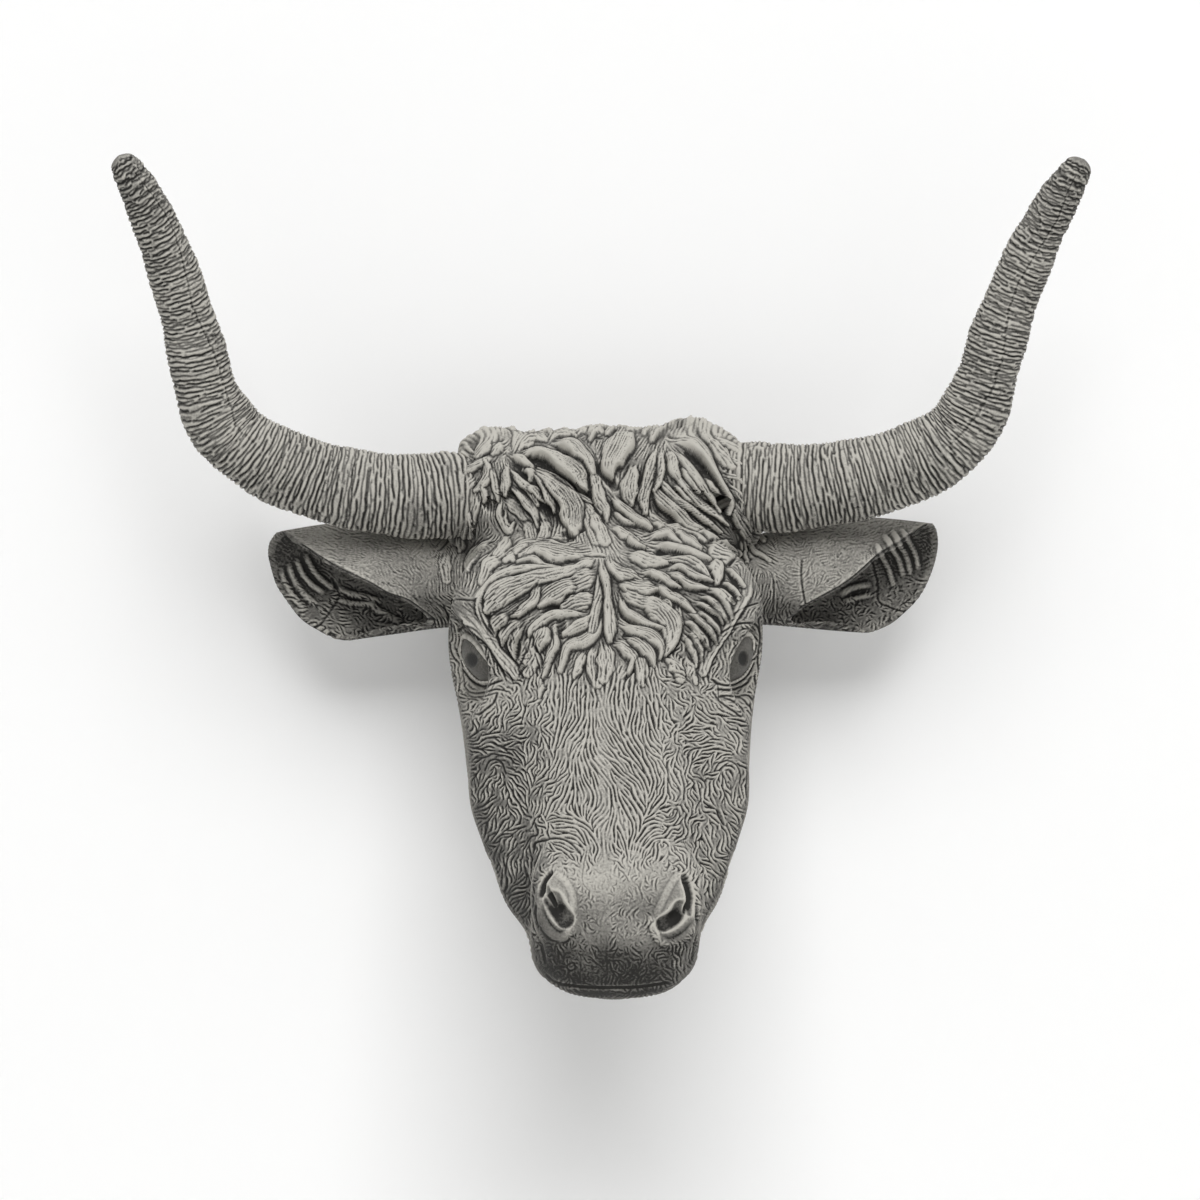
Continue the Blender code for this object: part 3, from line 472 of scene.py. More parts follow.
# %% Reading a table
def table(text):
    """Rows of (line, or first and last line, then the settings), from the text's own order."""
    rows = []
    for row in text.strip().replace(",\n", ",").splitlines():
        settings, *lines = (
            [[float(v) if "." in v else int(v) for v in spot.split()] for spot in part.split(",")]
            for part in row.split("|")
        )
        rows.append((*lines, *settings[0]))
    return rows


# %% Hollows between the tufts: radius in pixels and depth in mm, then the stations
HOLLOWS = table("""
6.1 4.5 | 534 458, 547 470, 562 480, 578 492, 593 501
3.6 3 | 553 449, 568 456, 583 465, 591 475
6.1 4.5 | 540 502, 548 510, 554 520
5.6 3.5 | 511 458, 518 467, 524 477
6.1 2.5 | 510 498, 520 508, 529 517
4.1 3 | 485 500, 491 508, 497 502
3.6 3 | 474 494, 466 499
3.1 4 | 562 534, 573 532, 583 528
6.3 5.5 | 690 456, 700 463, 710 475
5.7 5.5 | 710 490, 719 500, 726 510
5.7 4.5 | 654 505, 668 516, 685 524
3 4 | 692 512, 700 519, 709 525
5.2 3 | 645 484, 650 495
4 4 | 693 500, 707 505, 716 513
4 5 | 597 465, 607 478, 615 487
3 3 | 728 474, 745 474, 751 488
4.6 4.5 | 547 610, 557 608, 568 610
4.3 5 | 561 623, 561 634
3 4 | 555 541, 564 539, 572 538
3 4.5 | 518 645, 516 657
2.4 3.5 | 546 675, 550 662
2.8 3.5 | 488 615, 496 631
2 2.5 | 527 572, 538 571, 548 573
3.3 5 | 614 570, 625 581, 640 581
2.4 4.5 | 656 586, 657 598
4 5 | 624 615, 637 622, 652 630
2.6 4 | 625 636, 640 640, 649 647
3.5 4.5 | 608 640, 612 640
2.6 4 | 656 552, 666 552
1.9 3 | 654 663, 635 669, 624 679
2.4 4 | 729 613, 720 634, 709 650, 696 667
2.1 3 | 687 611, 696 615
1.9 3.5 | 601 648, 597 660
""")

for stations, radius, depth in HOLLOWS:
    front.groove([smooth_line(stations, 12)], radius * 1.25, depth, 0.8)

# %% Locks between the horns, left of the middle
UPPER_LEFT_LOCKS = table("""
3 6 | 497 430 3.1, 488 442 7.1, 478 455 4.1
3 4 | 484 434 3.1, 471 441 4.6, 453 448 3.6
3 3 | 475 455 1.5, 464 447 2.6, 451 446 3.1
3 3 | 471 456 1.5, 458 453 3.1, 442 456 2
2.5 3 | 460 460 2, 464 469 2.6, 452 473 2.6, 443 467 2
3 3 | 493 456 2, 481 463 3.9, 462 473 3.6
3 4 | 472 475 2, 468 484 6.1, 460 491 5.6, 459 500 2
3 4 | 497 431 2, 507 430 5.6, 519 430 2.6
3 2 | 503 444 3.1, 497 449 5.1, 493 454 2
3 6 | 514 454 1.5, 522 441 8.2, 535 434 7.1, 546 440 2
3 4 | 548 440 2, 557 431 6.1, 572 431 5.1, 576 436 1.5
4 7 | 576 434 2, 585 428 5.1, 597 430 6.1
2.5 5 | 484 460 2, 488 471 4.1, 483 484 4.1, 475 490 2
2 6 | 474 495 2.6, 475 507 4.6, 471 520 4.6, 470 536 3.1
3 2 | 441 534 2, 450 523 6.1, 460 515 4.6, 464 507 1.2
2.5 2 | 464 507 1.2, 470 516 2.7, 472 525 1.6
2.5 2 | 466 522 1.5, 464 532 3.6, 462 542 1.5
2.5 7 | 505 500 1.5, 514 505 6.1, 523 512 7.1, 532 520 3.6
3.5 2 | 492 467 1.8, 494 479 3.1, 497 492 3.1, 498 501 1.2
4.5 3 | 506 465 1.8, 506 477 3.9, 505 488 4.6, 505 495 1.8
3 2 | 481 486 1.5, 485 495 3.1, 484 502 1.5
3.5 3 | 501 502 1.4, 499 512 2.7, 503 524 3.1, 509 531 3.1, 514 523 1.2
3 1 | 505 513 1, 506 521 1.6, 510 526 1
2 7 | 524 521 3.1, 530 528 6.1, 532 540 5.1
4 3 | 591 467 2, 595 481 4.1, 597 500 3.6, 601 513 1.5
3 7 | 581 502 4.6, 589 517 7.1, 597 538 6.1
3.5 4 | 542 520 1.5, 546 528 4.6, 543 540 4.6
4 3 | 510 470 1.2, 521 482 3.9, 531 492 3.9, 537 505 2
5 3 | 511 486 1.2, 521 497 3.3, 530 506 4.6, 535 515 3.3, 538 527 1.4
4.5 3 | 526 486 1.5, 534 490 3.9, 540 497 2.9, 545 502 1.2
5 2 | 524 469 2, 531 473 3.6, 530 480 2.2
3 4 | 538 467 1.4, 554 477 4.1, 573 492 4.1, 592 502 1.4
5.5 3 | 534 472 1.6, 543 486 3.3, 549 497 4.6, 553 506 2.7, 554 512 1.2
7 9 | 535 471 2, 549 481 5.6, 564 496 8.7, 573 510 11.7, 573 523 9.7, 573 530 5.1
4 2 | 511 455 1.5, 522 460 3.5, 532 467 2
6 5 | 555 441 2.2, 573 448 7.1, 586 459 6.1, 593 473 2.9
7.5 8 | 518 454 2, 532 453 4.1, 546 455 4.6, 560 461 7.1, 575 472 9.2, 583 484 5.1, 587 490 1.6
""")

# %% Locks between the horns, right of the middle
UPPER_RIGHT_LOCKS = table("""
4 4 | 604 430 3.4, 595 430 5.7, 590 439 2.3
4 3 | 621 430 2.3, 614 427 4.8, 607 433 2.3
4 3 | 642 428 2.3, 632 427 5.2, 624 433 2.3
5 4 | 664 428 2.3, 651 425 5.2, 644 433 2.3
6 6 | 677 433 3.4, 668 423 8, 659 428 6.9, 652 440 2.9
6 7 | 680 428 3.4, 698 423 8, 715 428 6.9, 722 435 2.3
4 5 | 693 431 3.4, 709 440 5.5, 726 444 5.2, 738 452 4.6, 748 467 2.3
4 5 | 710 442 2.9, 721 456 6, 732 468 2.9
4 3 | 729 455 2.9, 740 465 4.1, 751 477 3.2, 758 495 1.6
4 3 | 726 475 2.1, 738 479 3.2, 748 490 3.2, 755 509 2.1
3 4 | 727 484 2.3, 737 495 3.9, 746 511 3.9, 755 526 2.8
3 3 | 751 448 2.3, 759 464 3.7, 762 484 3.4, 761 502 2.3
4 5 | 720 484 2.9, 730 500 4.6, 738 517 5.7, 750 541 5.2
3 2 | 738 513 2.3, 751 526 3, 764 540 2.5
4.5 3 | 597 479 2.9, 598 495 5.7, 605 509 4.6, 607 521 1.4
3 5 | 592 513 2.9, 597 525 5.7, 605 540 5.7
3 3 | 613 526 2.3, 624 534 4.6, 636 541 3.4
4 4 | 661 530 3.4, 680 529 6.3, 697 535 4.6, 705 541 2.3
4 2 | 652 522 1.8, 661 527 3.4, 668 535 2.3
7 8 | 628 430 6.9, 619 448 12.6, 610 465 9.2, 612 478 1.6
5.5 4 | 634 464 2.5, 631 479 6.7, 629 493 8.3, 631 504 3
5 4 | 657 447 2.1, 653 464 5.2, 647 481 5.2, 644 497 5.5, 645 513 2.3
4 4 | 662 448 1.8, 660 464 4.1, 659 479 4.1, 654 490 2.1
5 3 | 668 450 1.8, 672 462 5.1, 675 474 4.4, 681 482 1.6
5.5 3 | 654 489 2.3, 664 501 5.7, 678 513 5.7, 690 526 5.2, 707 536 2.8
5 3 | 658 478 1.4, 667 489 3.4, 678 501 3.9, 692 510 3.4, 705 520 3.2, 719 532 1.8
5 2 | 674 484 1.6, 684 494 3.7, 697 505 2.1
5 3 | 676 475 1.6, 686 488 3.9, 699 502 3.9, 714 513 3.4, 727 524 1.6
5 2 | 680 465 1.4, 689 479 3.7, 698 490 3.4, 705 493 1.4
5 3 | 670 448 1.6, 681 459 3.4, 693 474 4.6, 706 490 3.9, 720 511 1.8
4 2 | 706 479 1.4, 713 488 3, 721 496 1.6
7 4 | 674 438 2.9, 691 444 6.9, 705 456 5.5, 714 470 3.4, 722 486 3, 730 502 2.8, 728 513 1.8
4 2 | 614 511 1.8, 623 520 3.4, 634 525 1.6
6 3 | 612 495 1.8, 620 506 4.6, 631 516 5.1, 644 524 4.6, 650 529 2.3
""")

# %% Locks below the whorl, left of the middle
LOWER_LEFT_LOCKS = table("""
1.5 5 | 446 553 3.3, 445 566 5.4, 446 579 4.3
2.5 2 | 458 536 2.2, 462 545 3.7, 460 551 1.7
3.5 3 | 489 540 2, 478 550 4.3, 469 561 4.3, 468 570 2.4
3.5 3 | 509 536 1.6, 505 547 5.4, 498 556 4.3
3.5 3 | 501 559 2.2, 489 566 5.4, 483 582 3.8
3 4 | 538 544 3.3, 525 546 5.4, 509 555 3.3
3 4 | 562 545 2.7, 544 545 5.4, 532 545 2.7
4 5 | 585 553 2.2, 570 555 6.5, 554 553 8.7, 535 550 5.4, 520 556 2.2
3 2 | 516 557 4.3, 505 561 2.2
3.5 3 | 561 566 1.6, 544 567 3.3, 533 559 3.3, 518 562 1.7
3.5 5 | 596 599 3.3, 579 602 8.7, 566 606 5.4
3.5 7 | 596 574 4.3, 581 581 9.8, 566 591 6.5
4 2 | 595 562 2.7, 583 566 3.3, 565 573 2.4
4 6 | 577 582 5.4, 555 591 11.4, 540 602 5.4
5 3 | 492 628 1.3, 486 625 2.4, 481 615 3.3, 479 602 2.7, 486 591 3.8, 496 580 3.8, 514 573 3.3,
    535 570 3, 559 570 1.7
5.5 7 | 585 566 2.7, 559 576 5.2, 532 581 6.5, 509 590 10.3, 496 600 10.3, 487 610 3.8
5 2 | 538 585 2.7, 534 599 4.9, 521 612 4.3, 512 616 1.6
4.5 3 | 509 615 2.7, 501 620 6.5, 494 628 5.2, 495 635 1.3
5 3 | 522 620 2.2, 512 628 6.5, 503 638 5.2, 502 645 1.3
5 3 | 524 625 1.6, 516 634 4.9, 512 647 4.1, 515 659 1.3
5 3 | 532 644 1.6, 531 655 4.1, 524 664 2.6, 520 670 1.1
4.5 3 | 553 633 2.2, 555 647 5.2, 550 656 4.1, 546 670 2.6, 543 678 1.1
3.5 2 | 538 651 1.6, 534 662 5.2, 528 673 4.3
2.5 2 | 538 675 1.6, 541 688 2.8, 539 697 1.3
5 2 | 584 615 2.2, 560 615 3.7, 542 622 4.3, 532 631 3.7, 529 636 1.3
6 3 | 544 626 2.2, 543 636 8.5, 541 646 5.4, 540 652 1.1
4 2 | 584 652 1.5, 582 660 3.7, 577 671 3.7, 574 678 1.3
2.5 5 | 595 647 2.7, 592 664 5.4, 597 684 4.3
4.5 5 | 599 617 2.2, 596 632 5.4, 584 641 6.3, 568 649 4.8, 560 671 2.6
6 3 | 596 605 1.5, 592 619 3.7, 579 628 4.9, 564 635 2.2
""")

# %% Locks below the whorl, right of the middle
LOWER_RIGHT_LOCKS = table("""
2.5 1 | 742 537 2.1, 743 549 2.8, 747 561 1.9
2.5 1 | 747 539 1.7, 755 551 2.4, 770 560 1.9
4 3 | 649 537 2.4, 666 534 4.7, 680 543 2.4
4 3 | 673 532 2.4, 690 541 4.7, 700 548 2.4
4 2 | 696 532 2.4, 709 537 3.5, 720 542 1.9
4 2 | 629 536 1.7, 632 543 3.3, 644 548 1.7
4 1 | 708 544 2.4, 721 552 11.2, 735 554 4.7
5 1 | 709 563 3.5, 717 571 6.1, 717 583 2.8
5 2 | 654 544 2.4, 673 548 3.8, 694 554 3.8, 709 560 2.4
4 2 | 666 560 1.8, 687 562 3.8, 700 569 5, 709 580 2.1
5 2 | 666 570 1.8, 680 568 3.5, 692 575 4.5, 712 582 1.2
5 2 | 667 572 1.8, 677 577 3.8, 692 586 4.7, 707 589 1.4
5 2 | 641 572 2.4, 656 575 4.2, 668 582 4.2, 680 588 1.4
5 3 | 628 554 2.4, 641 560 5.7, 656 564 4.5, 667 564 1.4
4 1 | 726 568 1.8, 735 577 2.6, 743 587 1.9
4 1 | 722 582 1.8, 732 589 2.6, 739 598 1.7
4 1 | 717 588 1.8, 727 596 2.8, 734 603 1.7
5 1 | 708 589 2.4, 720 596 3.3, 729 610 2.8, 732 618 1.2
5 2 | 700 596 1.8, 713 602 3.3, 723 613 2.8, 728 622 1.2
4 1 | 694 601 1.8, 706 607 2.8, 719 615 2.8, 723 624 1.2
4 1 | 696 611 1.8, 707 617 2.6, 717 628 2.4, 720 634 1.2
5 2 | 687 611 1.8, 700 620 3.3, 712 633 3.1, 717 644 1.2
5 2 | 684 620 1.8, 695 628 3.3, 704 640 3.3, 710 650 1.2
4 1 | 687 630 1.4, 694 637 2.8, 700 649 2.6, 702 661 1.2
4 2 | 682 634 1.4, 688 643 3.1, 694 654 2.8, 696 667 1.2
4 3 | 656 582 2.9, 668 594 4.7, 684 603 4, 694 613 1.7
4 2 | 660 600 1.7, 667 606 4.2, 671 617 2.4
3 4 | 677 606 2.1, 678 620 4.2, 680 633 1.9
3 4 | 667 655 2.9, 675 664 7.1, 681 678 4.7
3 3 | 684 655 2.1, 690 669 4.5, 696 683 1.9
3 3 | 599 557 2.1, 601 577 3.1, 597 603 4, 592 632 4
5 3 | 609 558 2.4, 614 569 5.9, 628 576 6.8, 641 580 1.9
5 4 | 618 582 2.4, 631 588 6.8, 647 589 7.6, 656 589 2.4
4.5 3 | 622 591 2.1, 634 600 5.9, 652 603 2.4
3.5 5 | 605 644 4.7, 606 662 8.3, 604 679 4.7
4 3 | 614 641 3.5, 625 649 5.9, 634 660 4.7, 629 672 1.7
3 3 | 640 655 3.5, 642 668 6.6, 642 683 3.5
5 3 | 624 635 1.8, 637 643 6.8, 649 653 5.9, 654 666 1.4
5.5 4 | 621 624 2.4, 635 632 5.7, 651 636 7.1, 661 648 5.2, 660 659 1.4
7 6 | 637 601 2.9, 656 610 9.2, 668 624 10.6, 671 641 7.1, 665 656 1.4
5.5 3 | 620 596 1.7, 625 610 4, 640 620 4.7, 662 630 1.7
6 2 | 601 561 1.7, 604 577 4.5, 608 596 3.3, 609 613 5.2, 610 630 5.9, 610 641 2.8
""")

BROW_BANDS = table("""
3 2 | 454 606 5.5, 467 615 7.5, 483 631 6.5, 496 648 5.5, 507 662 6, 516 676 4
3 2 | 747 575 4.5, 743 596 6.5, 729 620 6.5, 720 636 5.5, 710 655 5, 703 672 4
""")
draw = np.random.default_rng(11)
for group in (BROW_BANDS, UPPER_LEFT_LOCKS, UPPER_RIGHT_LOCKS, LOWER_LEFT_LOCKS, LOWER_RIGHT_LOCKS):
    for stations, height, strands in group:
        lay_lock(front, stations, height, strands, draw)
print("forelock from", round(front.relief.min(), 1), "to", round(front.relief.max(), 1), "mm")

# %% [markdown]
# ## Short hair on the face
# Below the forelock the coat is short. The modeller drew it as nested waves and arches of little
# strokes, three to four millimetres apart, that part at the middle of the nose and sweep back over
# the cheeks. Each row below is a patch: how many lines fill it, the shortest and longest stroke
# and the depth, and after the bars its first and its last line. Strokes never run the whole way,
# because the tool was lifted again and again.

# %% Patches of the left temple and cheek
TEMPLE_LEFT_STROKES = table("""
8 4 14 0.5 | 444 579, 450 595, 452 612 | 465 576, 466 591, 475 599
7 6 18 0.5 | 442 556, 446 566, 454 577 | 462 552, 465 566, 476 577
5 8 24 0.35 | 454 610, 467 621, 483 640 | 464 606, 477 619, 492 636
4 8 24 0.4 | 501 652, 510 666, 518 682 | 492 658, 504 676, 509 693
5 8 22 0.5 | 562 655, 560 671, 548 686 | 574 658, 573 682, 568 699
8 6 14 0.7 | 544 689, 557 686, 568 699 | 576 682, 584 688, 594 699
""")
FACE_LEFT_STROKES = table("""
8 6 20 0.8 | 558 701, 569 713, 582 721, 591 733, 598 751 | 573 692, 584 700, 593 710, 598 721
10 6 18 0.8 | 548 726, 558 722, 569 727, 579 737, 586 748, 595 759 | 548 757, 560 754, 573 759,
    584 768, 592 778, 598 788
6 10 26 1 | 548 760, 560 763, 573 766, 584 774, 594 784, 600 798 | 560 786, 568 782, 579 785,
    590 793, 597 805, 603 818
7 10 26 1 | 560 791, 568 786, 579 790, 590 797, 597 809, 603 822 | 569 812, 578 811, 586 817,
    593 827, 598 835, 602 842
7 6 18 0.8 | 552 812, 562 818, 573 824, 582 833, 586 840 | 550 841, 560 838, 571 844, 580 854
8 5 10 1 | 554 804, 558 809, 562 816 | 569 796, 572 803, 574 808
7 3 9 0.6 | 520 708, 526 717, 530 722 | 534 705, 543 715, 548 722
7 8 14 0.8 | 517 719, 524 718, 529 722 | 517 733, 521 737, 526 739
12 8 14 0.8 | 505 721, 509 726, 514 721 | 506 751, 512 756, 518 751
6 12 30 0.8 | 483 738, 486 722, 495 712, 503 722, 507 737 | 492 746, 494 741, 498 733, 501 739,
    502 744
4 8 18 0.8 | 486 744, 490 742, 495 748, 502 750 | 487 758, 492 754, 498 757, 503 756
4 14 26 0.8 | 472 707, 481 703, 491 696, 496 691 | 479 716, 484 711, 492 703, 499 696
5 14 28 0.8 | 513 769, 517 760, 526 758, 534 765, 539 776 | 518 777, 521 774, 526 772, 531 774,
    535 776
5 8 18 0.5 | 524 751, 530 759, 536 767 | 545 741, 545 753, 540 765
5 6 16 0.5 | 526 737, 534 730, 541 739, 545 751 | 530 746, 535 741, 539 748, 538 759
10 8 16 0.8 | 489 785, 495 777, 504 776 | 506 815, 513 805, 526 802
4 5 10 0.6 | 490 772, 493 766, 501 765 | 489 783, 493 777, 504 774
3 5 8 1 | 520 808, 527 811 | 526 819, 530 819
3 6 12 1 | 521 833, 522 827, 528 824 | 526 834, 527 830, 531 831
8 16 44 0.8 | 474 783, 478 804, 484 826, 490 847, 496 860 | 481 788, 490 804, 499 831, 506 848,
    509 860
6 6 16 0.5 | 512 818, 518 823, 513 831, 506 844 | 521 818, 526 831, 518 846, 509 854
7 3 7 0.6 | 470 721, 474 731, 475 744 | 480 730, 483 742, 479 756
5 5 12 0.6 | 541 766, 547 768, 557 772 | 543 777, 552 780, 560 783
5 4 12 0.5 | 540 783, 543 793, 545 805 | 560 790, 557 798, 552 804
4 5 12 0.5 | 516 696, 521 701, 530 704 | 521 692, 534 696, 547 703
""")

# %% Patches of the right temple and cheek
TEMPLE_RIGHT_STROKES = table("""
12 3 8 0.6 | 748 580, 758 601, 761 636 | 774 569, 775 596, 767 643
4 6 18 0.4 | 743 580, 742 596, 735 603 | 754 580, 755 601, 738 613
6 5 12 0.5 | 666 676, 661 688, 656 700 | 680 683, 673 693, 670 700
10 4 14 0.5 | 592 643, 595 666, 592 686 | 642 669, 643 683, 640 700
""")
FACE_RIGHT_STROKES = table("""
5 5 12 0.8 | 628 716, 636 712, 643 714 | 627 732, 636 726, 647 724
6 8 24 1 | 654 722, 661 718, 667 712, 674 704 | 654 736, 667 730, 676 728, 684 717
5 6 18 0.8 | 642 740, 649 736, 661 738, 669 740, 678 733, 684 727 | 649 756, 660 755, 669 754,
    676 744
5 8 20 0.8 | 631 766, 638 759, 648 755, 656 759, 665 762, 678 766 | 646 782, 654 776, 665 777,
    677 772
5 10 28 1 | 647 784, 656 778, 669 779, 680 775 | 630 808, 637 800, 648 792, 662 790
5 8 20 0.5 | 661 796, 674 786, 681 784 | 652 807, 665 797, 681 792
4 14 34 1 | 629 829, 637 818, 648 810, 665 805, 678 803 | 629 842, 639 827, 652 819, 665 816
4 10 26 1 | 638 842, 648 830, 661 823, 675 819 | 647 846, 656 838, 667 833, 675 834
4 6 14 0.8 | 667 846, 674 840 | 661 860, 669 850, 677 847
5 6 12 0.8 | 692 714, 698 708, 705 705 | 692 728, 698 724, 702 718
6 12 30 1 | 706 725, 715 714, 725 710, 733 718, 740 732 | 717 738, 721 728, 730 733, 734 738
6 6 14 0.8 | 717 738, 724 739, 732 740 | 718 755, 725 752, 731 752
5 8 18 0.8 | 702 759, 706 756, 712 759 | 695 776, 704 770, 713 769
5 8 18 0.8 | 718 794, 726 793, 736 791 | 708 809, 718 804, 728 808
6 8 18 0.8 | 698 820, 706 816, 716 818 | 691 838, 698 831, 706 832, 714 830
7 16 40 0.8 | 728 823, 726 836, 719 850, 716 860 | 746 815, 744 836, 738 850, 733 860
6 4 8 1 | 623 784, 629 778 | 627 800, 632 793
4 4 8 1 | 635 792, 638 785 | 640 795, 643 786
6 3 8 0.6 | 736 742, 741 737, 748 731 | 734 755, 742 751, 752 751
5 4 10 0.4 | 715 785, 719 775, 728 768 | 736 784, 739 777, 736 770
6 4 12 0.4 | 687 785, 693 779, 698 775 | 698 807, 704 798, 708 788
6 8 26 0.5 | 606 692, 609 703, 608 717 | 622 692, 621 706, 618 726
3 10 30 0.5 | 751 712, 753 733, 750 751 | 757 717, 756 736, 754 751
""")

# %% Patches of the muzzle
MUZZLE_STROKES = table("""
7 6 16 0.9 | 560 823, 572 828, 584 835, 593 850 | 538 842, 552 838, 567 842, 582 856
5 8 20 0.9 | 633 842, 642 832, 659 822 | 650 846, 662 835, 679 833
4 6 16 0.8 | 659 858, 666 847, 678 835 | 663 868, 672 859, 681 847
7 16 40 0.9 | 502 848, 509 872, 522 892, 536 907 | 506 886, 514 904, 522 923, 532 937
8 16 40 0.8 | 699 883, 710 870, 722 850, 728 829 | 702 925, 713 910, 725 887, 733 865
7 4 12 0.8 | 695 840, 710 834, 722 830 | 696 860, 710 854, 726 840
4 5 12 0.7 | 522 829, 526 834, 522 842 | 536 824, 538 832, 534 840
12 3 9 0.7 | 584 904, 596 925, 611 938 | 635 910, 644 925, 650 944
5 6 18 0.6 | 675 970, 678 949 | 693 971, 696 947
4 8 24 0.6 | 539 916, 540 940, 545 964 | 550 937, 552 949, 557 967
6 5 12 0.7 | 662 890, 672 884, 682 886 | 648 905, 665 908, 681 899
3 8 20 0.6 | 602 870, 603 854, 600 835 | 612 870, 609 850, 605 829
3 5 12 0.6 | 557 866, 566 870, 570 862 | 557 862, 566 860, 575 865
""")

# %% Strokes of the face
HAIR_RADIUS = 1.35
MIDDLE_X = 606
NOSE_DROP, NOSE_BEND, NOSE_ROWS = 45, 9, (672, 832)
draw = np.random.default_rng(23)
patches = TEMPLE_LEFT_STROKES + FACE_LEFT_STROKES + TEMPLE_RIGHT_STROKES
patches += FACE_RIGHT_STROKES + MUZZLE_STROKES
drawn = np.zeros_like(front.relief)
off = np.array([2, 5, 9, 14, 20, 27, 35, 44, 52])
drop = NOSE_DROP * np.exp(-off / NOSE_BEND) + 0.02 * np.clip(off - 36, 0, 99) ** 2
arches = []
for side in (-1, 1):
    first, last = (np.stack([604 + side * off, high + drop], axis=1) for high in NOSE_ROWS)
    front.follow(smooth_line(line, 80) for line in combed(first, last, 60, *UNBROKEN, draw))
    arches += combed(first, last, 40, 4, 13, draw)
drawn = np.maximum(drawn, front.stamp(arches, HAIR_RADIUS, 1.0))
total = len(arches)
for first, last, count, shortest, longest, depth in patches:
    whole = combed(first, last, 2 * count, *UNBROKEN, draw)
    front.follow(smooth_line(line, 80) for line in whole)
    strokes = combed(first, last, count, shortest, longest, draw)
    drawn = np.maximum(drawn, front.stamp(strokes, HAIR_RADIUS, depth))
    total += len(strokes)
print(total, "strokes in", len(patches), "patches")

# %% Single lines: folds round the eyes, and the longer lines of the cheeks
SINGLE_LINES = table("""
1.2 1.6 | 458.4 630.8, 465.5 626.3, 474.7 629.7, 483.4 639.5, 494.2 654.7, 505 676.4
0.9 1.2 | 451.9 604.8, 454.1 599.4, 474.7 600.5
0.8 1.2 | 461.7 662.8, 469.3 673.1, 477.9 679.4, 486.6 678.7, 490.7 675.3
1.1 1.5 | 463.3 669.9, 471.4 680.2, 483.4 686.1, 494.2 683.1, 502.3 680.2
0.9 1.2 | 466 688.3, 471.4 692.6, 483.4 692.6, 495.3 689.4, 505 690.5
0.9 1.0 | 466 692.6, 472.5 697, 485.5 695.9, 496.4 692.6
0.8 0.8 | 464.9 685, 462.8 669.9, 461.7 660.1
0.9 1.2 | 449.8 642.7, 450.8 650.3, 454.1 657.9, 459.5 663.3
0.8 0.8 | 453 639.5, 449.8 620, 443.3 604.8
0.8 0.8 | 440 604.8, 446.5 612.4, 453 627.6
1.1 1.4 | 477.9 604.8, 481.2 616.7, 486.6 627.6, 492 634.1
1.1 1.6 | 487.7 614.6, 491 627.6, 498.5 638.4, 500.7 647.1, 509.4 655.8, 515.9 662.3,
    520.2 669.9, 519.1 676.4
0.7 0.8 | 502.9 664.4, 509.4 674.2, 513.7 683.9
0.8 1.2 | 584.2 555.5, 605 556.3
0.7 0.7 | 596.1 558.2, 589.6 571.2, 584.2 573.4
0.9 1.2 | 440 550.1, 448.7 539.8, 455.2 530
0.8 0.9 | 599.4 562.5, 599.4 584.2, 596.1 599.4
1.0 1.3 | 719.8 633.8, 731.6 626.7, 742.2 623.2, 755.2 624.4, 759.9 633.8
0.9 1.2 | 732.8 614.9, 743.4 607.9, 757.5 603.1
1.1 1.5 | 711.5 679.8, 721 684.6, 733.9 684.6, 746.9 676.3, 754 663.3
1.2 1.6 | 717.4 689.3, 731.6 689.5, 744.6 684.6, 751.6 676.3
0.8 1 | 710.3 689.3, 717.4 684.6, 718.6 699.9
1 1.3 | 721 695.2, 735.1 696.4, 746.9 695.2, 752.8 700
0.9 1 | 757.5 612.6, 759.9 636.2, 757.5 659.8, 761.1 683.4
0.8 0.9 | 754 678.7, 757.5 692.8, 756.4 700
0.9 1 | 729.2 565.4, 736.3 557.1
0.9 1.1 | 708 543, 721 541.2, 732.8 546.5, 736.9 554.8, 735.7 558.3, 729.2 565.4
1 1.2 | 741.6 539.4, 743.4 557.1, 746.9 560.7, 751.6 558.9
0.9 1 | 745.7 540.6, 755.2 551.2, 761.1 558.3, 770.5 560.1
0.8 1 | 590 556.5, 599.4 555.4, 605.3 557.1
0.8 1 | 598.8 558.3, 598.3 568.9, 600.6 586.6, 605.3 603.1
0.9 1 | 484.5 770.2, 488.8 761.5, 495.9 759.4, 501.8 763.7, 505.6 774.5
0.9 1 | 534.4 823.3, 537.1 834.1, 530 837.4, 523.5 849.3
0.9 1 | 533.3 852.6, 534.4 842.8, 547.4 839.6, 546.8 832
0.9 1 | 547.4 838.5, 557.1 837.4, 569 841.7, 579.9 852.6
1.1 1.4 | 497.5 693.3, 493.2 703, 485.6 709.5, 479.1 714.9
0.8 0.8 | 475.8 758.3, 486.7 756.7, 492.1 753.9, 502.4 755.6
1 1.3 | 712.7 692.2, 720.3 701.9, 731.2 709.5, 740.9 717.1
1.1 1.4 | 719.2 696.5, 730.1 699.8, 739.8 706.3, 744.2 712.8
1 1.2 | 730.1 695.4, 742 698.7, 748.5 706.3
0.8 0.9 | 714.9 771.3, 719.2 763.7, 727.9 760.5, 736.6 764.8, 740.9 774.6, 739.8 784.3
0.8 0.8 | 686.7 755, 693.2 749.1, 701.9 747.5
0.9 0.8 | 682.4 775.6, 685.1 787.6, 684 798.4
0.8 0.9 | 665 820.1, 673.7 817.9, 678 810.3, 674.8 809.2, 672.6 813.6
0.7 0.7 | 614.1 755, 621.7 763.7, 628.2 772.4
1 1.2 | 717.1 810.3, 720.3 817.9, 724.7 825.5
0.5 -0.4 | 585.4 854.5, 582.4 880, 589.9 891.9
0.8 0.9 | 534.5 850, 536 842.5, 552.5 838, 567.4 839.5
""")

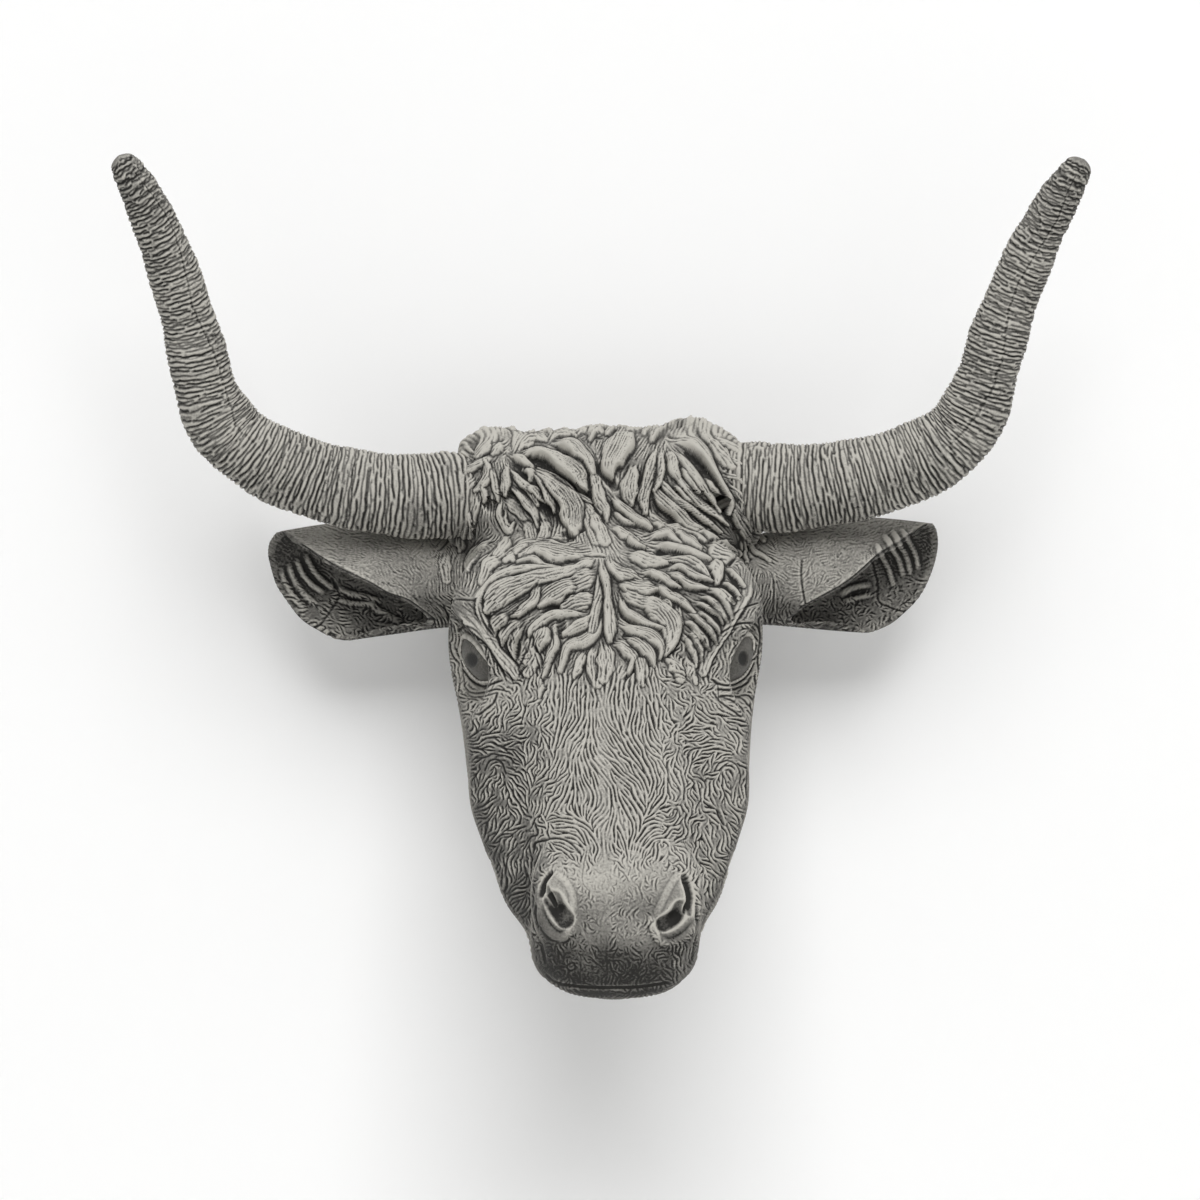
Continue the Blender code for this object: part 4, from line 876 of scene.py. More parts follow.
folds = [smooth_line(stations, 40) for stations, _, _ in SINGLE_LINES]
front.follow(folds)

# %% [markdown]
# ## The coat between the strokes
# No part of the coat is left bare: between the drawn strokes the hair goes on at the same spacing
# and turns gradually from one patch to the next. Thousands of strokes could be drawn by hand, but
# it is easier to comb noise: of all its waves only those are kept that lie across the coat's
# heading at the spacing of the hair. The drawn strokes go in first, so the rest falls in beside
# them. Ears and muzzle get the same at less depth.

# %% Combed coat
SPACINGS, RUNS = (3.6, 2.9), (3.2, 8.0)


def coat_heading(x, y):
    """Where nothing is drawn: down the face and out from its middle, and along each ear."""
    side = np.clip((x - MIDDLE_X) / 140, -1, 1)
    wave = 0.35 * np.sin(x / 9 + y / 23) + 0.25 * np.sin(y / 11 - x / 17)
    ear = np.where(side < 0, math.pi + 0.55, -0.55) + 0.2 * np.sin(x / 8 + y / 12)
    return np.where(np.abs(x - MIDDLE_X) > 172, ear, math.pi / 2 - side * 0.5 + wave)


x, y = front.places()
off_middle = np.abs(x - MIDDLE_X)
on_face = smoothstep(-8, 8, y - 655 + 0.25 * off_middle - 20 * (off_middle < 60))
on_muzzle = smoothstep(845, 875, y) * (1 - smoothstep(58, 76, off_middle))
on_ear = smoothstep(165, 178, off_middle)
depth = 0.95 + 0.75 * on_face - 1.1 * on_muzzle - 0.45 * on_ear
depth = depth * (1 - front.stamp(folds, 3.4, 0.85))
bands = [smooth_line(stations, 40)[:, :2] for stations, _, _ in BROW_BANDS]
depth = depth * (1 - front.stamp(bands, 7.0, 0.75))
depth = depth * smoothstep(0.75, 1.1, np.hypot((np.abs(x - 616) - 60) / 24, (y - 907) / 36))
depth = depth * (1 - 0.6 * (1 - smoothstep(4, 9, np.abs(x - 603.5))) * smoothstep(682, 700, y))


def clouds(shape, reach):
    """Soft noise: random numbers blurred, then scaled to a spread of one."""
    cloud = blurred(draw.normal(0, 1, shape), reach)
    return cloud / cloud.std()


heading = front.heading(coat_heading(x, y))
stray = 0.12 + 0.06 * on_face + 1.0 * on_muzzle + 0.45 * on_ear
stray = stray + 0.4 * on_face * smoothstep(46, 62, off_middle)
heading = heading + stray * clouds(front.relief.shape, 5)
depth = depth * np.clip(0.8 + 0.45 * clouds(front.relief.shape, 3), 0.15, 1.3)
per = front.per
coat = 0
for spacing, run, share in zip(SPACINGS, RUNS, (on_face, 1 - on_face)):
    noise = draw.normal(0, 1, front.relief.shape) - 4 * drawn
    coat = coat + share * ripples(noise, heading, spacing * per, run * per)
front.relief += cut_hair(coat, depth)
pits = draw.uniform((455, 690), (760, 940), (900, 2))
front.groove([np.stack([p, p + (0.4, 0.9)]) for p in pits], 1.0, 0.45)
for low, high in (((275, 525), (440, 640)), ((770, 515), (935, 630))):
    pits = draw.uniform(low, high, (260, 2))
    front.groove([np.stack([p, p + (1.0, 0.6)]) for p in pits], 1.3, 0.7)
for line, (_, radius, depth) in zip(folds, SINGLE_LINES):
    front.groove([line], radius * 1.4, 1.2 * abs(depth))
print("coat's depth", round(float(front.relief.std()), 2), "mm about its mean")

# %% [markdown]
# ## Muzzle
# The muzzle is bare skin: fine wrinkles, two comma-shaped nostrils with thick outer rims, the line
# of the mouth and a strip of chin below it. Deep, wide strokes do for the nostrils what fine ones
# do for hair, so the same tool serves.

# %% Nostrils, mouth and rims: radius in pixels, depth in mm and how square the bowl is, then lines
MUZZLE_CARVING = table("""
3.0 3.5 0.8 | 541 895, 542 886, 546 878, 551 872
10.0 9.0 0.6 | 553 900, 557 908, 561 914, 565 919
4.0 3.0 0.8 | 546 888, 549 895, 553 903
4.6 5.5 0.7 | 685 877, 689 888, 691 900, 689 912
8.5 8.5 0.6 | 664 924, 670 921, 676 916, 681 908
1.8 1.6 0.8 | 556 984, 580 987, 612 988, 640 987, 668 983
1.5 1.6 0.8 | 546 975, 552 981, 560 984
2.2 1.2 1.0 | 537 905, 536 925, 541 945, 545 962
2.2 1.2 1.0 | 697 900, 697 925, 695 945, 690 965
1.0 0.9 1.0 | 574 963, 569 964, 567 968, 571 971, 575 968, 574 963
""")
MUZZLE_ROLLS = table("""
5.0 1.5 | 537 898, 540 914, 548 929, 560 937, 572 931
4.0 0.8 | 557 874, 566 882, 572 894, 574 908
4.8 1.5 | 651 920, 658 938, 669 943, 684 937, 696 925
4.0 0.8 | 678 874, 670 886, 663 900, 657 912
""")
for stations, radius, height in MUZZLE_ROLLS:
    front.ridge([smooth_line(stations, 24)], radius, height, 0.8)
for stations, radius, depth, power in MUZZLE_CARVING:
    front.groove([smooth_line(stations, 24)], radius, depth, power)

# %% [markdown]
# ## Eyes and lids
# The eyeball is a ball of clay pressed into its socket, and the lids are thin rolls laid over it,
# which melt into the brow. So the skin is pulled to the eyeball: inside the opening it drops below
# the ball, and along the opening's edge it stands a lid's thickness above it. Two more tables hold
# how strongly and how far it is pulled. The rolls themselves go on later, with the eyeballs.

# %% Openings of the two eyes, and the lid's width on each side of them, in pixels
EYE_OPENINGS = (
    ((461, 641), (466, 637.5), (474, 642), (481, 651.5), (490, 663), (500, 678.5), (491, 677),
     (485, 678.5), (476, 677.5), (467, 669.5), (462.5, 658), (461, 648)),
    ((740.5, 637), (745.5, 634.5), (750, 637), (751.5, 648), (751, 660), (746.5, 668.5),
     (739, 675), (729, 679.5), (716, 679), (720, 670.5), (725.5, 661), (732.5, 648)),
)
LID_WIDTH, LID_FADE = 5.2, 2.4
LID_HEIGHT, BALL_SHOWS = 2.6, -2.5


def inside_and_distance(outline, u, v):
    """Crossings of a ray to the right decide inside; distance is the least to any edge."""
    a = np.asarray(outline, float)
    b = np.roll(a, -1, axis=0)
    inside = np.zeros(u.shape, bool)
    least = np.full(u.shape, 1e9)
    for (ax, ay), (bx, by) in zip(a, b):
        crosses = (ay > v) != (by > v)
        inside ^= crosses & (u < ax + (v - ay) / (by - ay + 1e-12) * (bx - ax))
        run = np.array([bx - ax, by - ay])
        share = np.clip(((u - ax) * run[0] + (v - ay) * run[1]) / (run @ run), 0, 1)
        least = np.minimum(least, np.hypot(u - ax - share * run[0], v - ay - share * run[1]))
    return inside, least


def rounded(outline):
    """A closed Catmull-Rom curve through the corners, as about sixty points."""
    rows = np.asarray(outline, float)
    line = smooth_line(np.vstack([rows[-2:], rows, rows[:2]]), 240)
    first = np.hypot(*(line - rows[0]).T).argmin()
    last = len(line) - 1 - np.hypot(*(line[::-1] - rows[0]).T).argmin()
    return line[first:last:4]


ROLL_MIDDLE, ROLL_HALF = 2.6, 3.0
eye_pull, eye_rise, lid_painted_highlight = (np.zeros_like(front.relief) for _ in range(3))
x, y = front.places()
for outline in EYE_OPENINGS:
    inside, edge = inside_and_distance(rounded(outline), x, y)
    pull = np.where(inside, 1.0, 1 - smoothstep(LID_WIDTH, LID_WIDTH + LID_FADE, edge))
    roll = LID_HEIGHT * np.sqrt(np.clip(1 - ((edge - ROLL_MIDDLE) / ROLL_HALF) ** 2, 0, 1))
    rise = np.where(inside, np.maximum(BALL_SHOWS, -2.5 * edge), roll)
    eye_rise = np.where(pull > eye_pull, rise, eye_rise)
    eye_pull = np.maximum(eye_pull, pull)
    # The lid rolls' shape is kept too, to paint them paler later as a painted highlight.
    lid_painted_highlight = np.maximum(lid_painted_highlight, np.where(inside, 0, roll / LID_HEIGHT))
front.relief = front.relief * (1 - eye_pull) + eye_rise * eye_pull
print("samples in the lids and openings", int((eye_pull > 0).sum()))

# %% [markdown]
# ## The sides, the top and the underside
# The photograph doesn't show them, so they are finished in the same manner: the coat flows back
# from the muzzle over cheek and jaw, and from the forelock over the neck to the wall. Two more
# sheets, in millimetres, are laid on from the side (y and z) and from above and below (x and y).

# %% Side and plan sheets
side_sheet = Sheet((-425, 5), (-265, 145), 1.25)
plan_sheet = Sheet((-170, 170), (-425, 5), 1.25)
draw = np.random.default_rng(31)
PART_DOWN = math.atan2(DOWN[2], DOWN[1])


def cheek_hair(y, z):
    """Headings seen from the side: along the face and turning level towards the wall, in waves."""
    level = smoothstep(-230, -90, y)
    base = (PART_DOWN + math.pi) * (1 - level) + 0.15 * level
    return base + 0.45 * np.sin(y / 13 + z / 29) + 0.30 * np.sin(z / 11 - y / 37)


def nape_hair(x, y):
    """Headings seen from above: back to the wall, fanning a little from the middle."""
    return math.pi / 2 - x / 260 + 0.4 * np.sin(x / 12 + y / 31) + 0.3 * np.sin(y / 14)


# %% The mouth, seen from the side
def side_line(stations):
    """Stations in t and n, in metres, turned to y and z in millimetres."""
    rows = np.asarray(stations)
    return 1000 * to_part(np.zeros(len(rows)), rows[:, 0], rows[:, 1])[:, 1:]


MOUTH = ((0.452, -0.101), (0.435, -0.1035), (0.395, -0.100), (0.362, -0.1005), (0.330, -0.104))
LIP_FOLD = ((0.352, -0.092), (0.340, -0.098), (0.328, -0.106), (0.322, -0.118))
side_sheet.groove([smooth_line(side_line(MOUTH), 40)], 2.4, 3.2, 0.7)
side_sheet.groove([smooth_line(side_line(LIP_FOLD), 24)], 2.0, 1.6)
side_sheet.ridge([smooth_line(side_line(np.array(MOUTH) + (0, 0.0055)), 40)], 4.0, 1.2, 0.8)

# %% Locks over the top of the head, and the two mounds of the crest
TEMPLE_MOUND = (-112, 52, 22, 16, 6.0)
CREST_MOUNDS = ((72, -104, 27, 44, 20.0), (-92, -104, 26, 42, 13.0))
x, y = plan_sheet.places()
for across, back, wide, deep, height in CREST_MOUNDS:
    plan_sheet.relief += height * np.exp(-(((x - across) / wide) ** 2) - ((y - back) / deep) ** 2)
back, high, deep, tall, height = TEMPLE_MOUND
y, z = side_sheet.places()
side_sheet.relief += height * np.exp(-(((y - back) / deep) ** 2) - ((z - high) / tall) ** 2)
for row, (y, spread) in enumerate(((-40, 105), (-62, 110), (-84, 112), (-106, 108), (-128, 96))):
    for x in np.linspace(-spread, spread, 15) + draw.uniform(-4, 4, 15):
        sway, wide = draw.uniform(-9, 9), draw.uniform(4.5, 7.5)
        out = 0.12 * x
        stations = (
            (x, y, 1.5),
            (x + 0.4 * out + sway * 0.3, y + 13, wide),
            (x + out + sway, y + 26, wide * 0.8),
            (x + out * 1.3 + sway * 1.4, y + 37, 1.5),
        )
        lay_lock(plan_sheet, stations, draw.uniform(2.5, 4.5), int(draw.integers(3, 7)), draw)
for sheet, headings in ((side_sheet, cheek_hair), (plan_sheet, nape_hair)):
    heading = sheet.heading(headings(*sheet.places()))
    noise = draw.normal(0, 1, sheet.relief.shape)
    sheet.relief += cut_hair(ripples(noise, heading, 3.1 * sheet.per, 5 * sheet.per), 1.0)
print("side and plan sheets", side_sheet.relief.shape, plan_sheet.relief.shape)

# %% [markdown]
# ## Marks on the ears
# Inside each cup lie six or seven thick ridges, which are the long hair of the ear, and a line
# runs under the folded flap. They are painted in the face's sheet too, since the photograph shows
# them from the front.

# %% Ridges and folds of the ears
EAR_RIDGES = table("""
2.2 1.6 | 297 561, 302 573, 311 584, 322 592
2.2 1.6 | 306 556, 312 568, 320 578, 331 587
2.2 1.4 | 289 566, 294 580, 303 593, 314 603
2.0 1.2 | 281 570, 286 584, 294 597, 305 610
2.4 1.6 | 341 590, 352 594, 365 597, 378 601
2.0 1.2 | 340 600, 350 603, 362 604, 375 605
2.4 1.4 | 367 603, 378 610, 388 616, 398 621
2.2 1.5 | 885 537, 892 548, 899 560, 903 574
2.2 1.5 | 893 533, 900 545, 907 558, 910 572
2.0 1.3 | 902 531, 910 543, 916 556, 918 568
2.0 1.3 | 877 546, 883 558, 889 570, 893 584
2.4 1.6 | 842 594, 850 589, 860 586, 868 585
2.0 1.2 | 844 602, 853 599, 862 597, 870 595
""")
EAR_CRACKS = table("""
1.4 1.2 | 332 578, 339 595, 331 610, 322 622, 315 628
1.6 1.5 | 301 543, 318 556, 334 564, 353 574, 371 583, 388 593, 409 601, 436 621
1.4 1.2 | 872 560, 878 585, 878 600, 890 607, 905 612
1.6 1.5 | 927 524, 901 541, 880 553, 866 566, 849 580, 824 595, 800 608
1.4 1.2 | 802 559, 801 575, 803 592, 806 608
""")

for stations, radius, height in EAR_RIDGES:
    front.ridge([smooth_line(stations, 16)], 1.6 * radius, 1.7 * height, 0.8)
for stations, radius, depth in EAR_CRACKS:
    front.groove([smooth_line(stations, 30)], radius, depth)
print(len(EAR_RIDGES), "ridges in the ears")

# %% [markdown]
# ## Where the dark wash stays, and painted light and shade
# After casting, a thin dark wash is brushed over and wiped off, so it stays in every groove and
# leaves the ridges pale. How deep a spot lies in its surroundings tells how dark it is: its height
# less the average height about it, once over a small and once over a wider neighbourhood. Light and
# shade are painted in as well: the lid rolls and the top of the muzzle paler, the lower pad, the
# left side of the jaw and the left cheek darker, and the skin paler where it faces up and forward.

# %% Wash from relief, with painted light and shade
def wash_of(sheet, fine, wide, wrap=False):
    """0.5 on open ground, less in grooves and more on ridges, from height less its blur."""
    small = sheet.relief - blurred(sheet.relief, fine, wrap)
    large = sheet.relief - blurred(sheet.relief, wide, wrap)
    return np.clip(0.5 + 0.55 * small + 0.12 * large, 0, 1)


front_wash_and_painted_light = wash_of(front, 3, 10)
# Painted highlight: the lid rolls are made paler, over the pale they get from the wiped-back wash.
front_wash_and_painted_light += (1.0 - front_wash_and_painted_light) * lid_painted_highlight
x, y = front.places()
# Painted shade: the lower pad of the muzzle, which faces down, is darkened.
on_pad = 1 - smoothstep(60, 84, np.abs(x - 612))
front_wash_and_painted_light -= 0.22 * smoothstep(932, 956, y) * on_pad
# Painted highlight on the top of the muzzle.
front_wash_and_painted_light += 0.18 * np.exp(-(((x - 612) / 48) ** 2) - ((y - 878) / 22) ** 2)
# Painted shade on the left side of the muzzle and jaw.
front_wash_and_painted_light -= 0.28 * np.exp(-(((x - 530) / 24) ** 2) - ((y - 895) / 45) ** 2)
# Painted shade over the left cheek, from the eyes down.
front_wash_and_painted_light -= 0.22 * smoothstep(0, 70, 560 - x) * smoothstep(690, 760, y)
side_wash = wash_of(side_sheet, 3, 8)
plan_wash = wash_of(plan_sheet, 3, 8)
front.relief = blurred(front.relief, 1) * 0.5 + front.relief * 0.5
print("wash on the face", np.round(np.percentile(front_wash_and_painted_light, (5, 50, 95)), 2))


def relief_at(points, normals):
    """Heights in mm and wash with painted shade: front sheet where the skin faces the lens, else
    side and plan.
    """
    facing = smoothstep(0.06, 0.36, (normals * unit(LENS_POINT - points)).sum(axis=-1))
    side = normals[..., 0] ** 2 + 0.3 * normals[..., 1] ** 2
    side = side / (side + normals[..., 2] ** 2 + 1e-9)
    side = smoothstep(0.35, 0.65, side)
    x, y, z = 1000 * np.moveaxis(points, -1, 0)
    px, py = to_photo(points)
    views = (
        (front, front_wash_and_painted_light, facing, px, py),
        (side_sheet, side_wash, (1 - facing) * side, y, z),
        (plan_sheet, plan_wash, (1 - facing) * (1 - side), x, y),
    )
    height = sum(w * s.read(s.relief, u, v) for s, _, w, u, v in views)
    wash_and_painted_light = sum(w * s.read(t, u, v) for s, t, w, u, v in views)
    # Painted light and shade: paler where the skin faces up and forward, darker where it faces down
    # and back.
    wash_and_painted_light = np.clip(wash_and_painted_light - 0.11 * normals[..., 1] + 0.24 * normals[..., 2] - 0.13, 0, 1)
    return height, wash_and_painted_light, facing, px, py


# %% [markdown]
# ## Stone-effect resin
# The casting is polyester resin filled with marble dust and tinted grey. It has the dull, grainy
# look of cut stone, with no shine, a little mottling from the pour, and here and there a pinhole
# where an air bubble met the mould. Its colour follows the wash left in the grooves, together with
# the light and shade painted into the same attribute. The same resin with more tint and a rub of
# wax makes the eyeballs, and the hanger is zinc-plated steel.

# %% Colours and nodes
def linear(hex_colour):
    """sRGB hex to linear: (c + 0.055) / 1.055 to the power 2.4, or c / 12.92 near black."""
    parts = [int(hex_colour[i : i + 2], 16) / 255 for i in (1, 3, 5)]
    return (*(c / 12.92 if c <= 0.04045 else ((c + 0.055) / 1.055) ** 2.4 for c in parts), 1.0)


def add(tree, kind, inputs=None, **settings):
    """Adds one node: settings go to it, and each input takes a value or another node's output."""
    made = tree.nodes.new("ShaderNode" + kind)
    for name, value in settings.items():
        setattr(made, name, value)
    for name, value in (inputs or {}).items():
        if isinstance(value, bpy.types.NodeSocket):
            tree.links.new(value, made.inputs[name])
        else:
            made.inputs[name].default_value = value
    return made


def per_metre(millimetres):
    """A pattern's scale from the real size of one of its marks."""
    return 1000 / millimetres


def new_material(name):
    """A material with its node tree and the shader in it."""
    made = bpy.data.materials.new(name)
    made.use_nodes = True
    return made, made.node_tree, made.node_tree.nodes["Principled BSDF"]


# %% Stone-effect resin with a dark wash and painted light and shade, dull as unpolished limestone
def stone_resin(name, deep, middle, pale, roughness):
    """Colour by wash and painted light and shade plus mottling, with pinholes and a sandy grain."""
    made, tree, shader = new_material(name)
    shader.inputs["IOR"].default_value = 1.5
    shader.inputs["Specular IOR Level"].default_value = 0.3
    place = add(tree, "TexCoord").outputs["Object"]
    wash_and_painted_light = add(tree, "Attribute", attribute_name="wash_and_painted_light").outputs["Fac"]
    # Cloudy tint of the pour, about 30 mm across, and specks of marble dust drawn 1.6 mm wide
    cloud = add(tree, "TexNoise", {"Vector": place, "Scale": per_metre(30), "Detail": 4})
    dust = add(tree, "TexNoise", {"Vector": place, "Scale": per_metre(1.6), "Detail": 3})
    tint = add(tree, "MapRange", {0: cloud.outputs[0], 1: 0.3, 2: 0.7, 3: -0.09, 4: 0.09})
    speck = add(tree, "MapRange", {0: dust.outputs[0], 1: 0.3, 2: 0.7, 3: -0.10, 4: 0.10})
    shade = add(tree, "Math", {0: wash_and_painted_light, 1: tint.outputs[0]}, operation="ADD")
    shade = add(tree, "Math", {0: shade.outputs[0], 1: speck.outputs[0]}, operation="ADD")
    # Pinholes of burst bubbles, one in about 7 mm and under 1 mm wide
    holes = add(tree, "TexVoronoi", {"Vector": place, "Scale": per_metre(7)})
    hole = add(tree, "MapRange", {0: holes.outputs["Distance"], 1: 0.05, 2: 0.11, 3: -0.3, 4: 0.0})
    shade = add(tree, "Math", {0: shade.outputs[0], 1: hole.outputs[0]}, operation="ADD")
    ramp = add(tree, "ValToRGB", {"Fac": shade.outputs[0]})
    stops = ramp.color_ramp.elements
    stops[0].position, stops[0].color = 0.10, linear(deep)
    stops[1].position, stops[1].color = 0.85, linear(pale)
    stops.new(0.5).color = linear(middle)
    tree.links.new(ramp.outputs[0], shader.inputs["Base Color"])
    rough = add(tree, "MapRange", {0: dust.outputs[0], 3: roughness - 0.08, 4: roughness + 0.08})
    tree.links.new(rough.outputs[0], shader.inputs["Roughness"])
    # Sandy grain, which the casting keeps from its mould, drawn 0.9 mm wide so that it shows
    grain = add(tree, "TexNoise", {"Vector": place, "Scale": per_metre(0.9), "Detail": 4})
    level = add(tree, "Math", {0: grain.outputs[0], 1: hole.outputs[0]}, operation="ADD")
    bump = add(tree, "Bump", {"Height": level.outputs[0], "Distance": 0.0005, "Strength": 0.6})
    tree.links.new(bump.outputs[0], shader.inputs["Normal"])
    return made


cast_stone = stone_resin("stone_resin_with_dark_wash_and_painted_light", "#282725", "#7c7a75", "#bcb9b1", 0.86)
eye_stone = stone_resin("waxed_dark_stone_resin", "#1d1c1a", "#4d4b47", "#7b7973", 0.55)
print("stone finishes", cast_stone.name, eye_stone.name)

# %% [markdown]
# ## From arrays to a closed piece
# Every piece is a stack of closed rows of points, joined by quads and shut at each end by a fan to
# one point. Where there is a crease, such as at the rim of the flat back, the row is given twice.
# A piece is turned inside out if the sum of p0 . (p1 x p2) over its triangles comes out negative.

# %% Closed piece from rows of points
def grid_normals(rows):
    """Cross product of the steps along the rows and round them, at unit length."""
    along = np.gradient(rows, axis=0) if len(rows) > 1 else np.zeros_like(rows)
    around = np.roll(rows, -1, axis=1) - np.roll(rows, 1, axis=1)
    normal = np.cross(around, along)
    return normal / (np.linalg.norm(normal, axis=-1)[..., None] + 1e-12)


def closed_piece(name, strips, ends, finish, nodes):
    """strips: (points, wash with painted light and shade, normals or None), one after another;
    ends: two points.
    """
    points, washes_and_painted_light, normals, quads, fans = [], [], [], [], []
    offset = 0
    for rows, wash_and_painted_light, given in strips:
        count, columns = rows.shape[:2]
        i, j = np.meshgrid(np.arange(count - 1), np.arange(columns), indexing="ij")
        k = (j + 1) % columns
        quad = [i * columns + j, i * columns + k, (i + 1) * columns + k, (i + 1) * columns + j]
        quads.append(offset + np.stack(quad, axis=-1).reshape(-1, 4))
        points.append(rows.reshape(-1, 3))
        washes_and_painted_light.append(np.broadcast_to(wash_and_painted_light, rows.shape[:2]).ravel())
        normals.append((grid_normals(rows) if given is None else given).reshape(-1, 3))
        offset += count * columns
    ring = np.arange(columns)
    last = offset - columns + ring
    fans.append(np.stack([np.full(columns, offset), np.roll(ring, -1), ring], axis=1))
    fans.append(np.stack([last, np.roll(last, -1), np.full(columns, offset + 1)], axis=1))
    points = np.concatenate(points + [np.asarray(ends, float)])
    washes_and_painted_light = np.concatenate(washes_and_painted_light + [[0.5, 0.5]])
    tips = [normals[0][:columns].mean(axis=0), normals[-1][-columns:].mean(axis=0)]
    normals = np.concatenate(normals + [np.array(tips)])
    quads, fans = np.concatenate(quads), np.concatenate(fans)
    triangles = np.concatenate([quads[:, :3], quads[:, [0, 2, 3]], fans])
    a, b, c = points[triangles].swapaxes(0, 1)
    if (a * np.cross(b, c)).sum() < 0:
        quads, fans = quads[:, ::-1], fans[:, ::-1]
    a, b, c = points[np.concatenate([quads[:, :3], fans])].swapaxes(0, 1)
    faces_out = np.cross(b - a, c - a)[: len(quads)]
    if (faces_out * normals[quads[:, 0]]).sum() < 0:
        normals = -normals
    mesh = bpy.data.meshes.new(name)
    mesh.vertices.add(len(points))
    mesh.vertices.foreach_set("co", points.astype(np.float32).ravel())
    corners = np.concatenate([quads.ravel(), fans.ravel()]).astype(np.int32)
    mesh.loops.add(len(corners))
    mesh.loops.foreach_set("vertex_index", corners)
    starts = np.concatenate([4 * np.arange(len(quads)), quads.size + 3 * np.arange(len(fans))])
    mesh.polygons.add(len(starts))
    mesh.polygons.foreach_set("loop_start", starts.astype(np.int32))
    mesh.update(calc_edges=True)
    mesh.shade_smooth()
    mesh.normals_split_custom_set_from_vertices(normals.astype(np.float32))
    kept = mesh.attributes.new("wash_and_painted_light", "FLOAT", "POINT")
    kept.data.foreach_set("value", washes_and_painted_light.astype(np.float32))
    mesh.materials.append(finish)
    piece = bpy.data.objects.new(name, mesh)
    bpy.context.scene.collection.objects.link(piece)
    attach(piece, "root")
    if nodes:
        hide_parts(*nodes)
    print(name, len(quads) * 2 + len(fans), "triangles")

# %% [markdown]
# ## The skin of the head
# Rings of rays are cast from the inside of the head, as the plain model does. From the wall to the
# brow the rings turn about the throat, then they move down the face, and past the muzzle they lean
# forward until they meet. The hits are spread evenly, closer together at the front, where the
# photograph looks, and each point is moved by its distance over the slope until it lies exactly on
# the form. Then every point rises or sinks along its normal by the relief of the sheets.

# %% Rings of rays
HEAD_START_T, MUZZLE_T, MUZZLE_N = 0.169, 0.400, -0.062
THROAT = np.array([0.0, 0.0, -0.200])
RAYS, FIRST_REACH = 180, 0.004
turns = np.radians(np.concatenate([np.linspace(0, 7, 5), np.linspace(8, 50, 56)]))
straights = np.linspace(HEAD_START_T, MUZZLE_T, 56)[1:]
leans = np.linspace(0, math.pi / 2, 30)[1:]


def ring_frames():
    """Middle, up and forward of every ring, and how far its rays lean."""
    forward = np.stack([0 * turns, -np.cos(turns), -np.sin(turns)], axis=1)
    up = np.stack([0 * turns, -np.sin(turns), np.cos(turns)], axis=1)
    middle = THROAT + up * (NECK_CENTRE_Z - THROAT[2])
    share = (straights - HEAD_START_T) / (MUZZLE_T - HEAD_START_T)
    straight = to_part(0 * share, straights, -0.090 + share * (MUZZLE_N + 0.090))
    tip = np.repeat(straight[-1:], len(leans), axis=0)
    rest = len(straights) + len(leans)
    middle = np.concatenate([middle, straight, tip])
    up = np.concatenate([up, np.tile(OUT, (rest, 1))])
    forward = np.concatenate([forward, np.tile(DOWN, (rest, 1))])
    lean = np.concatenate([np.zeros(len(turns) + len(straights)), leans])
    return middle, up, forward, lean


middle, up, forward, lean = ring_frames()
around = full_turn(RAYS)
rays = np.cos(around)[None, :, None] * up[:, None] + np.sin(around)[None, :, None] * ACROSS
rays = rays * np.cos(lean)[:, None, None] + forward[:, None] * np.sin(lean)[:, None, None]
reach = np.full(rays.shape[:2], FIRST_REACH)
for _ in range(45):
    ahead = head_distance(middle[:, None] + rays * reach[..., None])
    reach = reach + np.where(ahead < 0, np.maximum(-0.75 * ahead, 0.0004), 0)
for _ in range(8):
    reach = reach - 0.7 * head_distance(middle[:, None] + rays * reach[..., None])
hits = middle[:, None] + rays * reach[..., None]
print("coarse hits", hits.shape)

# %% Even spread of the hits, closer at the front
COLUMNS = 690
PIECE_ROWS, FIRST_ROWS = 142, 138
HEAD_PIECES = (
    ("neck_and_nape", ("neck",)),
    ("crest", ("skull",)),
    ("forehead_and_eyes", ("skull",)),
    ("face", ("skull",)),
    ("nose_and_cheeks", ("skull",)),
    ("muzzle_and_jaw", ("muzzle", "lower_jaw")),
)
ring = np.concatenate([hits, hits[:, :1]], axis=1)
angle = np.linspace(0, 360, RAYS + 1)
angle = np.minimum(angle, 360 - angle)
weight = 0.18 + 0.82 * (1 - smoothstep(75, 125, (angle[1:] + angle[:-1]) / 2))
steps = np.linalg.norm(np.diff(ring, axis=1), axis=-1) + 1e-7
travel = np.concatenate([np.zeros((len(ring), 1)), np.cumsum(steps * weight, axis=1)], axis=1)
travel /= travel[:, -1:]
wanted = np.arange(COLUMNS) / COLUMNS
spread = np.stack([
    np.stack([np.interp(wanted, t, c) for c in row.T], axis=1) for t, row in zip(travel, ring)
])
run = np.linalg.norm(np.diff(spread, axis=0), axis=-1)
fore = np.abs((wanted + 0.5) % 1 - 0.5) < 0.30
run = run[:, fore].mean(axis=1)
row_weight = np.interp(np.arange(len(run)), (0, 12, 40), (0.25, 0.35, 1.0))
path = np.append(0, np.cumsum(run * row_weight))
total_rows = PIECE_ROWS * len(HEAD_PIECES)
place = np.interp(np.linspace(0, path[-1], total_rows + 1), path, np.arange(len(path)))[:-1]
i = np.minimum(place.astype(int), len(spread) - 2)
h = (place - i)[:, None, None]
skin = spread[i] * (1 - h) + spread[i + 1] * h
tip = hits[-1].mean(axis=0)

# %% Onto the form exactly, with normals from the slope of the distance
def slope(points):
    """Forward differences of the distance over half a millimetre, as a vector."""
    here, step = head_distance(points), 0.0005
    ahead = [head_distance(points + step * axis) - here for axis in np.eye(3)]
    return here, np.stack(ahead, axis=-1) / step


